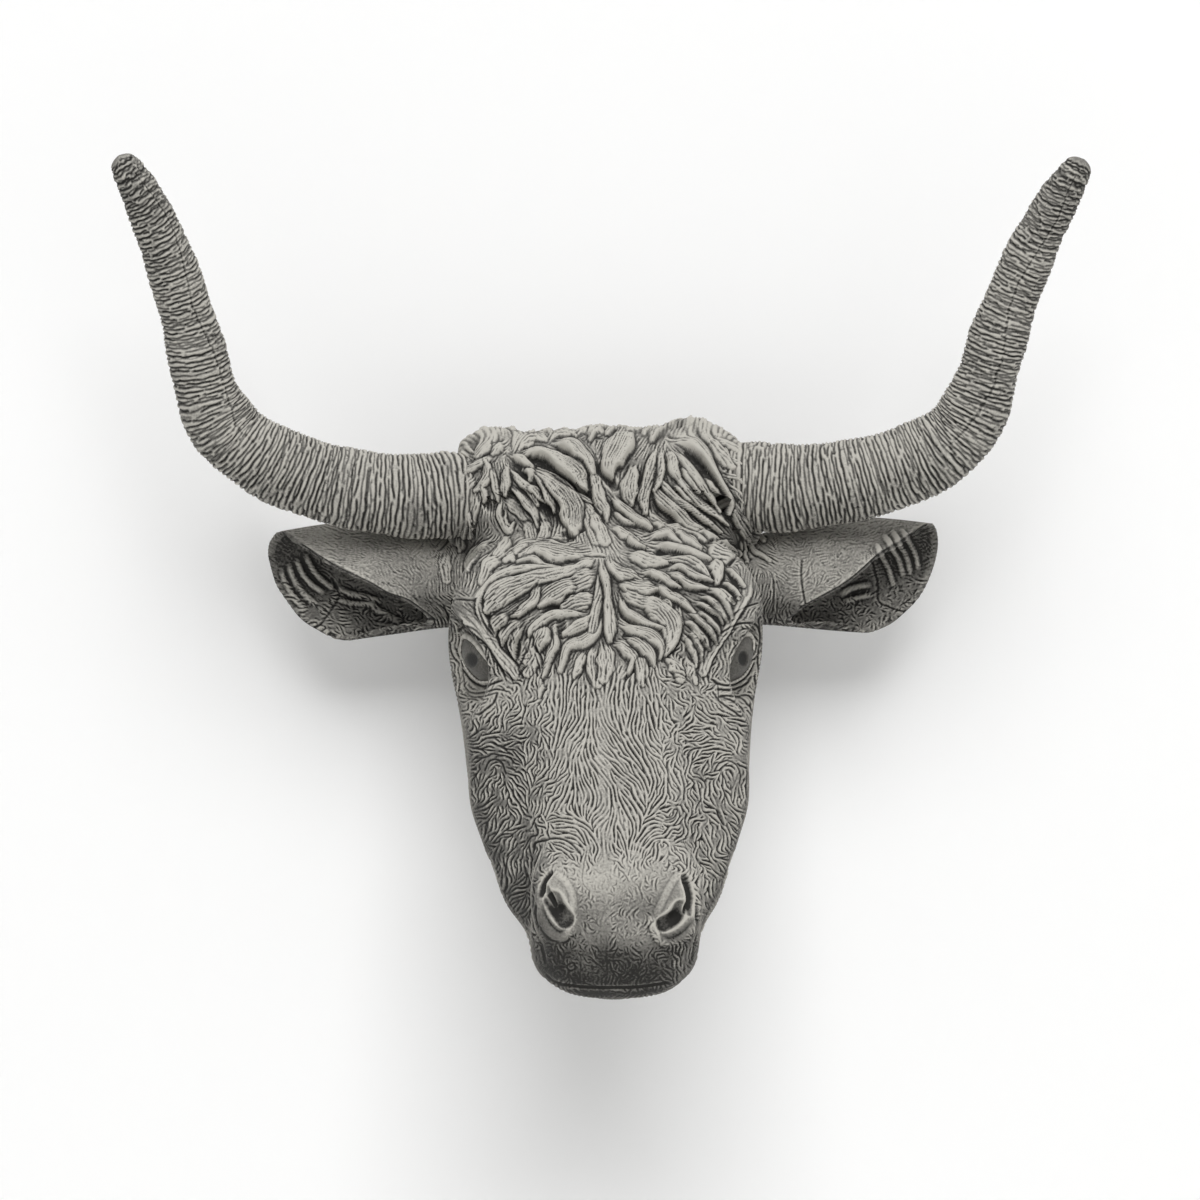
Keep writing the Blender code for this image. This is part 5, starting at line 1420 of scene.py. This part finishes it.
for _ in range(2):
    here, gradient = slope(skin)
    skin = skin - gradient * (here / ((gradient**2).sum(axis=-1) + 1e-9))[..., None]
    skin[..., 1] = np.minimum(skin[..., 1], 0)
skin[0, :, 1] = 0
normals = unit(gradient)
print("skin", skin.shape, "off the form by", round(1000 * float(np.abs(here).max()), 2), "mm")

# %% Eyeballs, whose surface the lids follow
EYE = (0.0890, 0.1765, -0.0490)
EYE_RADII = (0.0210, 0.0270, 0.0210)


def eye_frame(side):
    """Middle of one eye, and its outward, lengthways and crossways directions as rows."""
    out = unit(side * 0.74 * ACROSS + 0.42 * DOWN + 0.52 * OUT)
    long = -side * 0.60 * ACROSS + 0.80 * DOWN
    long = unit(long - out * (long @ out))
    return to_part(side * EYE[0], EYE[1], EYE[2]), np.stack([out, long, np.cross(out, long)])


def above_eye(points, side):
    """Distance of points above the eyeball."""
    centre, axes = eye_frame(side)
    return egg(*np.moveaxis((points - centre) @ axes.T, -1, 0), (0, 0, 0), EYE_RADII)


# %% Relief laid on the skin
height, wash_and_painted_light, facing, px, py = relief_at(skin, normals)
height = height / 1000
EYE_PLACES, EYE_REGION = ((-1, (476, 660)), (1, (742, 658))), 60
SMALL_STEP, LOWEST, HIGHEST = 0.0005, -0.010, 0.014
for side, (x, y) in EYE_PLACES:
    use = (np.hypot(px - x, py - y) < EYE_REGION) & (facing > 0)
    base, way, plain = skin[use], normals[use], height[use]
    lift = plain
    for _ in range(12):
        there = base + way * lift[:, None]
        u, v = to_photo(there)
        pull = front.read(eye_pull, u, v) * facing[use]
        above = above_eye(there, side)
        gain = (above_eye(there + SMALL_STEP * way, side) - above) / SMALL_STEP
        goal = lift + (front.read(eye_rise, u, v) / 1000 - above) / np.maximum(gain, 0.4)
        goal = np.clip(plain * (1 - pull) + goal * pull, LOWEST, HIGHEST)
        lift = lift + 0.5 * (goal - lift)
    height[use] = lift
    moved = front.read(front_wash_and_painted_light, u, v) - front.read(front_wash_and_painted_light, px[use], py[use])
    wash_and_painted_light[use] = np.clip(wash_and_painted_light[use] + facing[use] * moved, 0, 1)
fade = smoothstep(0.0, 0.006, -skin[..., 1])
skin = skin + normals * (height * fade)[..., None]
skin[..., 1] = np.minimum(skin[..., 1], 0)
shading = grid_normals(skin)
shading *= np.sign((shading * normals).sum(axis=-1))[..., None]
print("relief from", round(1000 * height.min(), 1), "to", round(1000 * height.max(), 1), "mm")

# %% [markdown]
# ## Flat back and hanger pocket
# The back was struck off flat while the resin was soft, and a steel keyhole plate was let into it
# over a pocket for the head of the wall's screw. Each step of the back is a row of points on a
# rectangle, taken at the same bearings from the plate's middle as the rim of the neck.

# %% Back with its rebate and pocket
PLATE_Z, PLATE_DEPTH = 0.066, 0.0010
REBATE, REBATE_DEPTH = (0.0606, 0.0786), 0.0033
POCKET, POCKET_DEPTH = (0.044, 0.058), 0.016
rim = skin[0]
bearing = np.arctan2(rim[:, 0], rim[:, 2] - PLATE_Z)


def rectangle(size, depth):
    """A row on a rectangle: the bearing's ray ends where it meets the nearer pair of sides."""
    half = np.array(size) / 2
    away = np.maximum(np.abs(np.sin(bearing)) / half[0], np.abs(np.cos(bearing)) / half[1])
    x, z = np.sin(bearing) / away, PLATE_Z + np.cos(bearing) / away
    return np.stack([x, 0 * x - depth, z], axis=1)


levels = (
    rectangle(POCKET, POCKET_DEPTH), rectangle(POCKET, REBATE_DEPTH),
    rectangle(REBATE, REBATE_DEPTH), rectangle(REBATE, 0.0), rim,
)
back_strips = [(np.stack(pair), 0.55, None) for pair in zip(levels[:-1], levels[1:])]
middle_of_pocket = (0, -POCKET_DEPTH, PLATE_Z)

# %% Head pieces
edges = np.append(0, np.linspace(FIRST_ROWS, total_rows, len(HEAD_PIECES)).round().astype(int))
for number, (name, nodes) in enumerate(HEAD_PIECES):
    low, high = edges[number], min(edges[number + 1] + 1, total_rows)
    rows = slice(low, high)
    strips = [(skin[rows], wash_and_painted_light[rows], shading[rows])]
    ends = [skin[low].mean(axis=0), skin[high - 1].mean(axis=0)]
    if number == 0:
        strips = back_strips + strips
        ends[0] = middle_of_pocket
    if number == len(HEAD_PIECES) - 1:
        ends[1] = tip + DOWN * height[-1].mean()
    closed_piece(name, strips, ends, cast_stone, nodes)

# %% [markdown]
# ## Horns
# Each horn tapers and bends out, forward and up, and ends in a blunt knob. Its sheath grew in
# rings, which the modeller scratched in one by one. The body is a circle carried along a smooth
# line, so that its sheet of relief has one side along the horn and wraps round on the other.

# %% Stations of the horns: x, y, z and radius
LEFT_HORN = (
    (-0.0860, -0.122, 0.083, 0.0345), (-0.1170, -0.125, 0.083, 0.0350),
    (-0.1590, -0.1300, 0.0820, 0.0343), (-0.2220, -0.1380, 0.0925, 0.0323),
    (-0.2760, -0.1480, 0.1165, 0.0303), (-0.3050, -0.1580, 0.1500, 0.0275),
    (-0.3212, -0.1770, 0.2130, 0.0229), (-0.3370, -0.195, 0.266, 0.0203),
    (-0.3520, -0.210, 0.303, 0.0170), (-0.3610, -0.2180, 0.3200, 0.0142),
    (-0.3655, -0.2215, 0.3275, 0.0114),
)
RIGHT_HORN = (
    (0.0820, -0.122, 0.089, 0.0365), (0.1160, -0.125, 0.089, 0.0368),
    (0.1560, -0.1300, 0.0890, 0.0356), (0.2140, -0.1380, 0.0985, 0.0334),
    (0.2620, -0.1480, 0.1185, 0.0313), (0.2885, -0.1580, 0.1495, 0.0278),
    (0.3070, -0.1770, 0.2140, 0.0236), (0.3260, -0.195, 0.268, 0.0205),
    (0.3440, -0.210, 0.305, 0.0173), (0.3520, -0.2180, 0.3200, 0.0146),
    (0.3570, -0.2215, 0.3285, 0.0116),
)
HORN_ROWS, HORN_COLUMNS, KNOB_ROWS = 560, 132, 26
SWELL_STEP, SWELL_DEPTH = 0.058, 0.0013
COLLAR_PLACE, COLLAR_RISE = 38, 0.0018
ROUND = 180.0


def frames_along(line, first_side):
    """Tangent, side and rise at each point; the side is carried along with no twist."""
    tangents = unit(np.gradient(line, axis=0))
    sides = [np.asarray(first_side, float)]
    for tangent in tangents:
        sides.append(unit(sides[-1] - tangent * (sides[-1] @ tangent)))
    sides = np.array(sides[1:])
    return tangents, sides, np.cross(tangents, sides)


# %% Growth rings
def ring_sheet(length, draw):
    """Rings at uneven steps, each a wavy line broken into arcs, with pits towards the root."""
    sheet = Sheet((0, length), (0, ROUND), 1.7, wrap=True)
    v = np.linspace(0, ROUND, 90, endpoint=False)
    sway = np.zeros((2, len(v)))
    here, strokes, fine = 2.0, [], []
    bands = [(k, draw.uniform(0, 2 * math.pi), draw.uniform(0.5, 1.2)) for k in (1, 2, 3, 5, 7)]
    while here < length - 4:
        wave = sum(
            size / k * 1.3 * np.sin(2 * math.pi * k * v / ROUND + turn + here * 0.02 * k)
            for k, turn, size in bands
        )
        wave = wave + 0.35 * np.sin(2 * math.pi * 11 * v / ROUND + here * 0.9)
        first = draw.uniform(0, ROUND)
        gone = 0.0
        while gone < ROUND:
            span = draw.uniform(9, 70)
            arc = np.linspace(first + gone, first + gone + span, max(int(span / 2), 4))
            u = here + np.interp(arc % ROUND, v, wave, period=ROUND)
            u = u + draw.normal(0, 0.35) + draw.uniform(-0.9, 0.9) * np.linspace(-1, 1, len(arc))
            (strokes if draw.random() < 0.7 else fine).append(np.stack([u, arc], axis=1))
            gone += span + draw.uniform(0.5, 5)
        here += draw.uniform(2.1, 3.9) * (1.15 - 0.3 * here / length)
    sheet.groove(strokes, 1.25, 1.5)
    sheet.groove(fine, 1.0, 0.9)
    pits = draw.uniform((0, 0), (length * 0.8, ROUND), (900, 2))
    pits = pits[draw.random(len(pits)) > pits[:, 0] / length]
    short = [np.stack([p, p + (draw.normal(0, 0.5), draw.uniform(0.6, 2.6))]) for p in pits]
    sheet.groove(short, 1.1, 1.0, 0.7)
    cracks = draw.uniform((0, 0), (length, ROUND), (70, 2))
    across = [np.stack([p, p + (draw.uniform(2, 6), draw.normal(0, 1.2))]) for p in cracks]
    sheet.groove(across, 0.8, 0.6)
    # A dotted seam down the front of the outer half, and a turned collar below the knob
    u = np.arange(length * 0.45, length - 14, 3.4) + draw.uniform(-0.8, 0.8)
    seam = np.stack([u, 9 + 5 * np.sin(u / 19) + draw.normal(0, 0.5, len(u))], axis=1)
    sheet.groove([np.stack([p, p + (1.8, 0.3)]) for p in seam], 1.5, 1.5, 0.7)
    sheet.groove([np.stack([0 * v + length - 17, v], axis=1)], 1.6, 1.4)
    sheet.ridge([np.stack([0 * v + length - 12, v], axis=1)], 3.2, 0.9)
    return sheet


def horn(node, stations, seed):
    """Circles along the line, less the relief, and a knob that closes over a quarter turn."""
    draw = np.random.default_rng(seed)
    line = smooth_line(stations, HORN_ROWS)
    gone = travelled(line[:, :3])
    dips = SWELL_DEPTH * np.sin(math.pi * gone / SWELL_STEP) ** 2
    dips = dips * np.minimum((gone[-1] - gone) / SWELL_STEP, 1)
    centres, radii = line[:, :3], line[:, 3] - dips
    tangents, sides, rises = frames_along(centres, (0, -1, 0))
    turn = full_turn(HORN_COLUMNS)
    spokes = np.cos(turn)[:, None] * sides[:, None] + np.sin(turn)[:, None] * rises[:, None]
    lean = np.linspace(0, math.pi / 2, KNOB_ROWS + 1)[1:-1, None, None]
    knob = centres[-1] + tangents[-1] * radii[-1] * 0.8 * np.sin(lean)
    knob = knob + spokes[-1] * radii[-1] * np.cos(lean)
    knob_normals = spokes[-1] * np.cos(lean) + tangents[-1] * np.sin(lean)
    rows = np.concatenate([centres[:, None] + spokes * radii[:, None, None], knob])
    outward = np.concatenate([spokes, knob_normals])
    along = travelled(rows.mean(axis=1)) * 1000
    sheet = ring_sheet(along[-1], draw)
    wash_table = wash_of(sheet, 2, 6, True)
    u, v = np.meshgrid(along, turn / (2 * math.pi) * ROUND, indexing="ij")
    thin = np.minimum(1, np.append(radii, np.full(KNOB_ROWS - 1, radii[-1])) / 0.02)[:, None]
    carved = sheet.read(sheet.relief, u, v) * thin / 1000
    carved = carved + COLLAR_RISE * np.exp(-(((u - COLLAR_PLACE) / 7) ** 2))
    lump = 0.0012 * np.sin(u / 17 + 2 * np.sin(v / 29)) * np.sin(2 * math.pi * v / ROUND + u / 40)
    rows = rows + outward * (carved + 0.5 * (lump - 0.0012) * thin)[..., None]
    top = centres[-1] + tangents[-1] * radii[-1] * 0.8
    # Painted light and shade: paler on the horn's upper side and darker below; also darker over the
    # last 90 mm to the tip.
    tone = 0.10 * outward[..., 2] + 0.03 - 0.2 * smoothstep(along[-1] - 90, along[-1], u)
    strips = [(rows, np.clip(sheet.read(wash_table, u, v) + tone, 0, 1), None)]
    closed_piece("ringed_" + node, strips, (centres[0], top), cast_stone, (node,))


horn("horn_left", LEFT_HORN, 5)
horn("horn_right", RIGHT_HORN, 6)

# %% [markdown]
# ## Ears
# An ear is a cone opened along its front, with the front edge folded over into a flap. It could be
# two surfaces and a thickness, but one surface does it: rows run out along the back from the root
# to the rim, turn over it, and run down inside the cup. Seen from the front it takes the marks of
# the face's sheet, so the ridges inside the cup are painted there too.

# %% Rims of the ears, from the tip along the folded edge to the root and back below
LEFT_EAR_RIM = (
    (-0.2539, -0.0980, 0.0547), (-0.2388, -0.1140, 0.0445), (-0.2124, -0.1320, 0.0278),
    (-0.1970, -0.1390, 0.0203), (-0.1825, -0.1420, 0.0133), (-0.1696, -0.1410, 0.0058),
    (-0.1534, -0.1340, -0.0008), (-0.1364, -0.1200, -0.0134), (-0.1390, -0.1040, -0.0206),
    (-0.1630, -0.0940, -0.0223), (-0.1899, -0.0840, -0.0303), (-0.2096, -0.0790, -0.0320),
    (-0.2297, -0.0750, -0.0232), (-0.2418, -0.0730, -0.0144), (-0.2531, -0.0710, 0.0000),
    (-0.2611, -0.0710, 0.0128), (-0.2659, -0.0740, 0.0296), (-0.2669, -0.0790, 0.0383),
    (-0.2641, -0.0860, 0.0472),
)
RIGHT_EAR_RIM = (
    (0.2586, -0.0980, 0.0608), (0.2355, -0.1180, 0.0470), (0.2171, -0.1320, 0.0370),
    (0.2021, -0.1390, 0.0244), (0.1891, -0.1420, 0.0141), (0.1719, -0.1410, 0.0036),
    (0.1553, -0.1340, -0.0055), (0.1447, -0.1200, -0.0150), (0.1502, -0.1040, -0.0203),
    (0.1704, -0.0940, -0.0192), (0.1923, -0.0840, -0.0225), (0.2122, -0.0790, -0.0265),
    (0.2310, -0.0750, -0.0201), (0.2449, -0.0730, -0.0097), (0.2565, -0.0710, 0.0026),
    (0.2642, -0.0710, 0.0169), (0.2692, -0.0740, 0.0330), (0.2703, -0.0790, 0.0466),
    (0.2670, -0.0860, 0.0578),
)
EAR_ROOT, EAR_ROOT_HALF = (0.108, -0.098, 0.014), (0.025, 0.033)
EAR_WALL, LIP_ROUND = 0.0045, 0.0012
# How far hair sinks and rises, and the painted shade inside the cup.
HAIR_SINKS, HAIR_RISES, INSIDE_PAINTED_SHADE = -0.002, 0.003, 0.16
EAR_COLUMNS, EAR_OUT_ROWS, EAR_IN_ROWS = 420, 90, 80


def closed_line(stations, count):
    """A closed Catmull-Rom curve through the stations."""
    rows = np.asarray(stations, float)
    places = np.arange(count) * len(rows) / count
    i = np.floor(places).astype(int)
    h = (places - i)[:, None]
    a, b, c, d = (rows[(i + k) % len(rows)] for k in (-1, 0, 1, 2))
    return between(a, b, c, d, h)


def ear_rows(side):
    """Straight mixes of root and rim with a bulge, then the same rows pulled in by the wall."""
    rim = closed_line(LEFT_EAR_RIM if side < 0 else RIGHT_EAR_RIM, EAR_COLUMNS)
    turn = full_turn(EAR_COLUMNS)
    root = np.stack([
        side * EAR_ROOT[0] + 0 * turn,
        EAR_ROOT[1] - np.sin(turn) * EAR_ROOT_HALF[0],
        EAR_ROOT[2] + np.cos(turn) * EAR_ROOT_HALF[1],
    ], axis=1)
    bulge = np.maximum(np.cos(turn - 0.3), 0)[:, None] * (0.0, 0.004, 0.012)
    bulge = bulge + np.maximum(-np.sin(turn), 0)[:, None] * (0.0, 0.014, -0.002)
    share = np.linspace(0, 1, EAR_OUT_ROWS)[:, None, None]
    outer = root + (rim - root) * share + bulge * np.sin(math.pi * share)
    share = 1 - 0.66 * np.linspace(0, 1, EAR_IN_ROWS)[:, None, None]
    line = root + (rim - root) * share + bulge * np.sin(math.pi * share)
    inward = line.mean(axis=1, keepdims=True) - line
    reach = np.linalg.norm(inward, axis=-1, keepdims=True)
    wall = EAR_WALL + 0.004 * (1 - share)
    inner = line + inward / reach * np.minimum(wall, 0.8 * reach)
    lip = (outer[-1] + inner[0]) / 2 + unit(rim - root) * LIP_ROUND
    return np.concatenate([outer, lip[None], inner])


def ear(node, side):
    """The rows of the ear, each point moved along its normal by the front sheet's relief."""
    rows = ear_rows(side)
    outward = grid_normals(rows)
    middle = rows.mean(axis=(0, 1))
    outside = rows[: EAR_OUT_ROWS // 2]
    if ((outside - middle) * outward[: EAR_OUT_ROWS // 2]).sum() < 0:
        outward = -outward
    height, wash_and_painted_light, facing, _, _ = relief_at(rows, outward)
    fade = 0.35 + 0.65 * facing
    # Painted shade: the inside of the cup is darkened.
    wash_and_painted_light[EAR_OUT_ROWS + 3 :] -= INSIDE_PAINTED_SHADE
    rows = rows + outward * np.clip(height / 1000 * fade, HAIR_SINKS, HAIR_RISES)[..., None]
    strips = [(rows, wash_and_painted_light, None)]
    ends = (rows[0].mean(axis=0), rows[-1].mean(axis=0))
    closed_piece("cupped_" + node, strips, ends, cast_stone, (node,))


ear("ear_left", -1)
ear("ear_right", 1)

# %% [markdown]
# ## Eyeballs
# Each eyeball is an oval, waxed darker than the rest, with a drilled pupil, which is how a
# modeller makes stone look at you. It is built of rows round its long axis, and the pupil is sunk
# where the photograph shows it. Over its edges lie an upper and a lower lid, each a rope of clay.

# %% Eyeballs
PUPILS = ((471.4, 660.0, 6.4, 7.8), (743.4, 658.6, 5.2, 8.0))
EYE_ROWS, EYE_COLUMNS = 160, 200
LID_LINES = (
    (((460.5, 651, 1.2), (461, 641, 2.2), (466, 636, 3.2), (474, 641, 3), (481, 650, 2.6),
      (490, 662, 2.2), (501, 679, 1.2)),
     ((461, 662, 1), (466, 671.5, 1.5), (475, 679.5, 1.7), (486, 681, 1.6), (497, 680.5, 1))),
    (((752.5, 650, 1.2), (752, 640, 2.2), (746, 634, 3.2), (739, 637.5, 3), (731.5, 648, 2.6),
      (724.5, 661, 2.2), (714.5, 680, 1.2)),
     ((751.5, 661, 1), (747, 670.5, 1.5), (739.5, 677.5, 1.7), (729, 682, 1.6), (717, 681.5, 1))),
)
LID_STEPS, LID_SIDES, LID_ABOVE, PIXEL = 90, 24, 0.001, 0.00078


def lid(name, node, rows, normals, stations):
    """A rope of clay: its stations go to the nearest seen spots of the ball, with rings round."""
    line = smooth_line(stations, LID_STEPS)
    px, py = to_photo(rows)
    hidden = 1e4 * ((normals * TO_CAMERA).sum(axis=-1) < 0.1)
    far = np.hypot(px[..., None] - line[:, 0], py[..., None] - line[:, 1]) + hidden[..., None]
    near = far.reshape(-1, LID_STEPS).argmin(axis=0)
    pair = np.stack([rows.reshape(-1, 3)[near], normals.reshape(-1, 3)[near]])
    for _ in range(14):
        pair[:, 1:-1] = (pair[:, :-2] + 2 * pair[:, 1:-1] + pair[:, 2:]) / 4
    spine, up = pair
    along = unit(np.gradient(spine, axis=0))
    across = np.cross(up, along)
    half = line[:, 2:] * PIXEL
    turn = full_turn(LID_SIDES)[None, :, None]
    ring = np.cos(turn) * across[:, None] + 0.8 * np.sin(turn) * up[:, None]
    spine = spine + LID_ABOVE * up
    tube = spine[:, None] + ring * half[:, None]
    # Painted light and shade: the rope is paler on its outer side and darker where it lies against
    # the ball.
    wash_and_painted_light = 0.62 + 0.25 * np.sin(turn[..., 0]) + 0.1 * np.sin(np.arange(LID_STEPS)[:, None] * 0.9)
    ends = [(spine + sign * along * half)[at] for sign, at in ((-1, 0), (1, -1))]
    closed_piece(name, [(tube, wash_and_painted_light, None)], ends, cast_stone, (node,))


def eyeball(node, side, pupil):
    """Ellipsoid: cosines of lean and turn times its half sizes; a bowl sunk at the pupil."""
    lean = np.linspace(-math.pi / 2, math.pi / 2, EYE_ROWS + 2)[1:-1, None]
    turn = full_turn(EYE_COLUMNS)[None]
    ball = np.stack([
        EYE_RADII[0] * np.cos(lean) * np.cos(turn),
        EYE_RADII[1] * np.sin(lean) + 0 * turn,
        EYE_RADII[2] * np.cos(lean) * np.sin(turn),
    ], axis=-1)
    centre, axes = eye_frame(side)
    normals = unit((ball / np.array(EYE_RADII) ** 2) @ axes)
    rows = centre + ball @ axes
    for part, stations in zip(("upper", "lower"), LID_LINES[0 if side < 0 else 1]):
        lid(f"{part}_lid_of_{node}", node, rows, normals, stations)
    px, py = to_photo(rows)
    off = np.hypot((px - pupil[0]) / pupil[2], (py - pupil[1]) / pupil[3])
    seen = smoothstep(-0.2, 0.2, (normals * TO_CAMERA).sum(axis=-1))
    sunk = 1.8 * np.sqrt(np.clip(1 - off**2, 0, 1))
    fleck = np.sin(3.1 * px + 2.3 * py) * np.sin(2.3 * py - 2.7 * px)
    wash_and_painted_light = np.clip(0.58 - 0.36 * sunk * seen + 0.1 * fleck, 0, 1)
    # Painted shade: the ball darkens close to the edge of the opening, under the lids.
    _, edge = inside_and_distance(rounded(EYE_OPENINGS[0 if side < 0 else 1]), px, py)
    wash_and_painted_light = np.clip(wash_and_painted_light - 0.45 * np.exp(-edge / 2.2), 0, 1)
    rows = rows - normals * (sunk * seen / 1000)[..., None]
    ends = [centre + sign * EYE_RADII[1] * axes[1] for sign in (-1, 1)]
    name = "drilled_" + node
    closed_piece(name, [(rows, wash_and_painted_light, None)], ends, eye_stone, (node,))


eyeball("eye_left", -1, PUPILS[0])
eyeball("eye_right", 1, PUPILS[1])

# %% [markdown]
# ## Hanger
# The keyhole plate's shape is right in the plain model, so its solid stays and only takes a real
# finish: sheet steel dipped in zinc, with the faint mottled spangle of the bath, held by two
# small screws with crossed heads.

# %% Zinc-plated steel: a pale metal with a soft spangle and a rolled grain
zinc, tree, shader = new_material("zinc_plated_sheet_steel")
shader.inputs["Metallic"].default_value = 1.0
place = add(tree, "TexCoord").outputs["Object"]
spangle = add(tree, "TexVoronoi", {"Vector": place, "Scale": per_metre(5)})
tone = add(tree, "MapRange", {0: spangle.outputs["Color"], 3: 0.28, 4: 0.46})
tree.links.new(tone.outputs[0], shader.inputs["Roughness"])
zinc_ramp = add(tree, "ValToRGB", {"Fac": spangle.outputs["Color"]})
zinc_ramp.color_ramp.elements[0].color = linear("#b3b5b4")
zinc_ramp.color_ramp.elements[1].color = linear("#cfd0cc")
tree.links.new(zinc_ramp.outputs[0], shader.inputs["Base Color"])
fine = add(tree, "TexNoise", {"Vector": place, "Scale": per_metre(0.8)})
bump = add(tree, "Bump", {"Height": fine.outputs[0], "Distance": 0.0001, "Strength": 0.3})
tree.links.new(bump.outputs[0], shader.inputs["Normal"])
plate = bpy.data.objects["hanger_plate"]
for slot in plate.material_slots:
    slot.material = zinc

# %% Screw heads at the foot and top of the plate
SCREW_RADIUS, SCREW_RISE = 0.0034, 0.0008


def screw_head(name, z):
    """A shallow dome, r cos and r sin, with two crossed slots sunk where |x| or |z| is small."""
    lean = np.linspace(0, math.pi / 2, 20)[:-1, None]
    turn = full_turn(96)[None]
    radius = SCREW_RADIUS * np.cos(lean)
    x, up = radius * np.cos(turn), radius * np.sin(turn)
    rise = SCREW_RISE * np.sin(lean) + 0 * turn
    cross = (np.minimum(np.abs(x), np.abs(up)) < 0.0004) & (radius < 0.0019)
    rise = rise - 0.0005 * cross
    dome = np.stack([x, rise - PLATE_DEPTH, z + up], axis=-1)
    foot = np.stack([dome[0, :, 0], 0 * turn[0] - PLATE_DEPTH - 0.0015, dome[0, :, 2]], axis=-1)
    strips = [(np.stack([foot, dome[0]]), 0.5, None), (dome, 0.5, None)]
    ends = ((0, foot[0, 1], z), (0, SCREW_RISE - 0.0005 - PLATE_DEPTH, z))
    closed_piece(name, strips, ends, zinc, ())


screw_head("screw_top", PLATE_Z + 0.0345)
screw_head("screw_foot", PLATE_Z - 0.0345)

# %% [markdown]
# ## Wall, floor and light
# The head hangs on a plain white wall, as in the photograph, with a pale floor well below it. A
# large soft lamp above and in front gives the gentle shadow under the muzzle and the ears, and an
# even pale sky fills the rest. Seen from behind, the wall lets the view through, but no
# lamp's light comes there, so the flat back and its hanger look dark.

# %% Wall and floor
WALL_BEHIND, WALL_TOP, FLOOR_Z = 0.0015, 2.5, -1.25


def flat_sheet(name, corners, material):
    """One quad between four corners."""
    mesh = bpy.data.meshes.new(name)
    mesh.from_pydata(corners, [], [(0, 1, 2, 3)])
    mesh.materials.append(material)
    made = bpy.data.objects.new(name, mesh)
    bpy.context.scene.collection.objects.link(made)


paint, tree, shader = new_material("matt_white_wall_paint")
shader.inputs["Base Color"].default_value = linear("#fafafa")
shader.inputs["Roughness"].default_value = 0.95
behind = add(tree, "NewGeometry").outputs["Backfacing"]
clear = add(tree, "BsdfTransparent")
mix = add(tree, "MixShader", {0: behind, 1: shader.outputs[0], 2: clear.outputs[0]})
tree.links.new(mix.outputs[0], tree.nodes["Material Output"].inputs["Surface"])
corners = ((-3, FLOOR_Z), (3, FLOOR_Z), (3, WALL_TOP), (-3, WALL_TOP))
flat_sheet("wall", [(x, WALL_BEHIND, z) for x, z in corners], paint)
ground, _, shader = new_material("pale_matt_floor")
shader.inputs["Base Color"].default_value = linear("#f0f0ee")
shader.inputs["Roughness"].default_value = 0.9
corners = ((-4, -4), (4, -4), (4, 4), (-4, 4))
flat_sheet("floor", [(x, y, FLOOR_Z) for x, y in corners], ground)

# %% Lights
def lamp(name, place, aim, size, power):
    """A square area light at a place, turned to face another."""
    made = bpy.data.objects.new(name, bpy.data.lights.new(name, "AREA"))
    bpy.context.scene.collection.objects.link(made)
    made.data.size = size
    made.data.energy = power
    away = np.subtract(aim, place)
    made.location = place
    made.rotation_euler = (
        math.atan2(math.hypot(away[0], away[1]), -away[2]),
        0,
        math.atan2(away[0], -away[1]) + math.pi,
    )


lamp("key", (0.2, -7.2, 6.4), (0, -0.1, 0.0), 6.0, 640)
lamp("fill", (1.2, -3.6, -0.6), (0, -0.1, -0.2), 2.4, 6)
world = bpy.data.worlds.new("studio")
bpy.context.scene.world = world
world.use_nodes = True
sky = world.node_tree.nodes["Background"]
sky.inputs["Color"].default_value = linear("#ffffff")
sky.inputs["Strength"].default_value = 0.40
bpy.context.scene.view_settings.view_transform = "Standard"
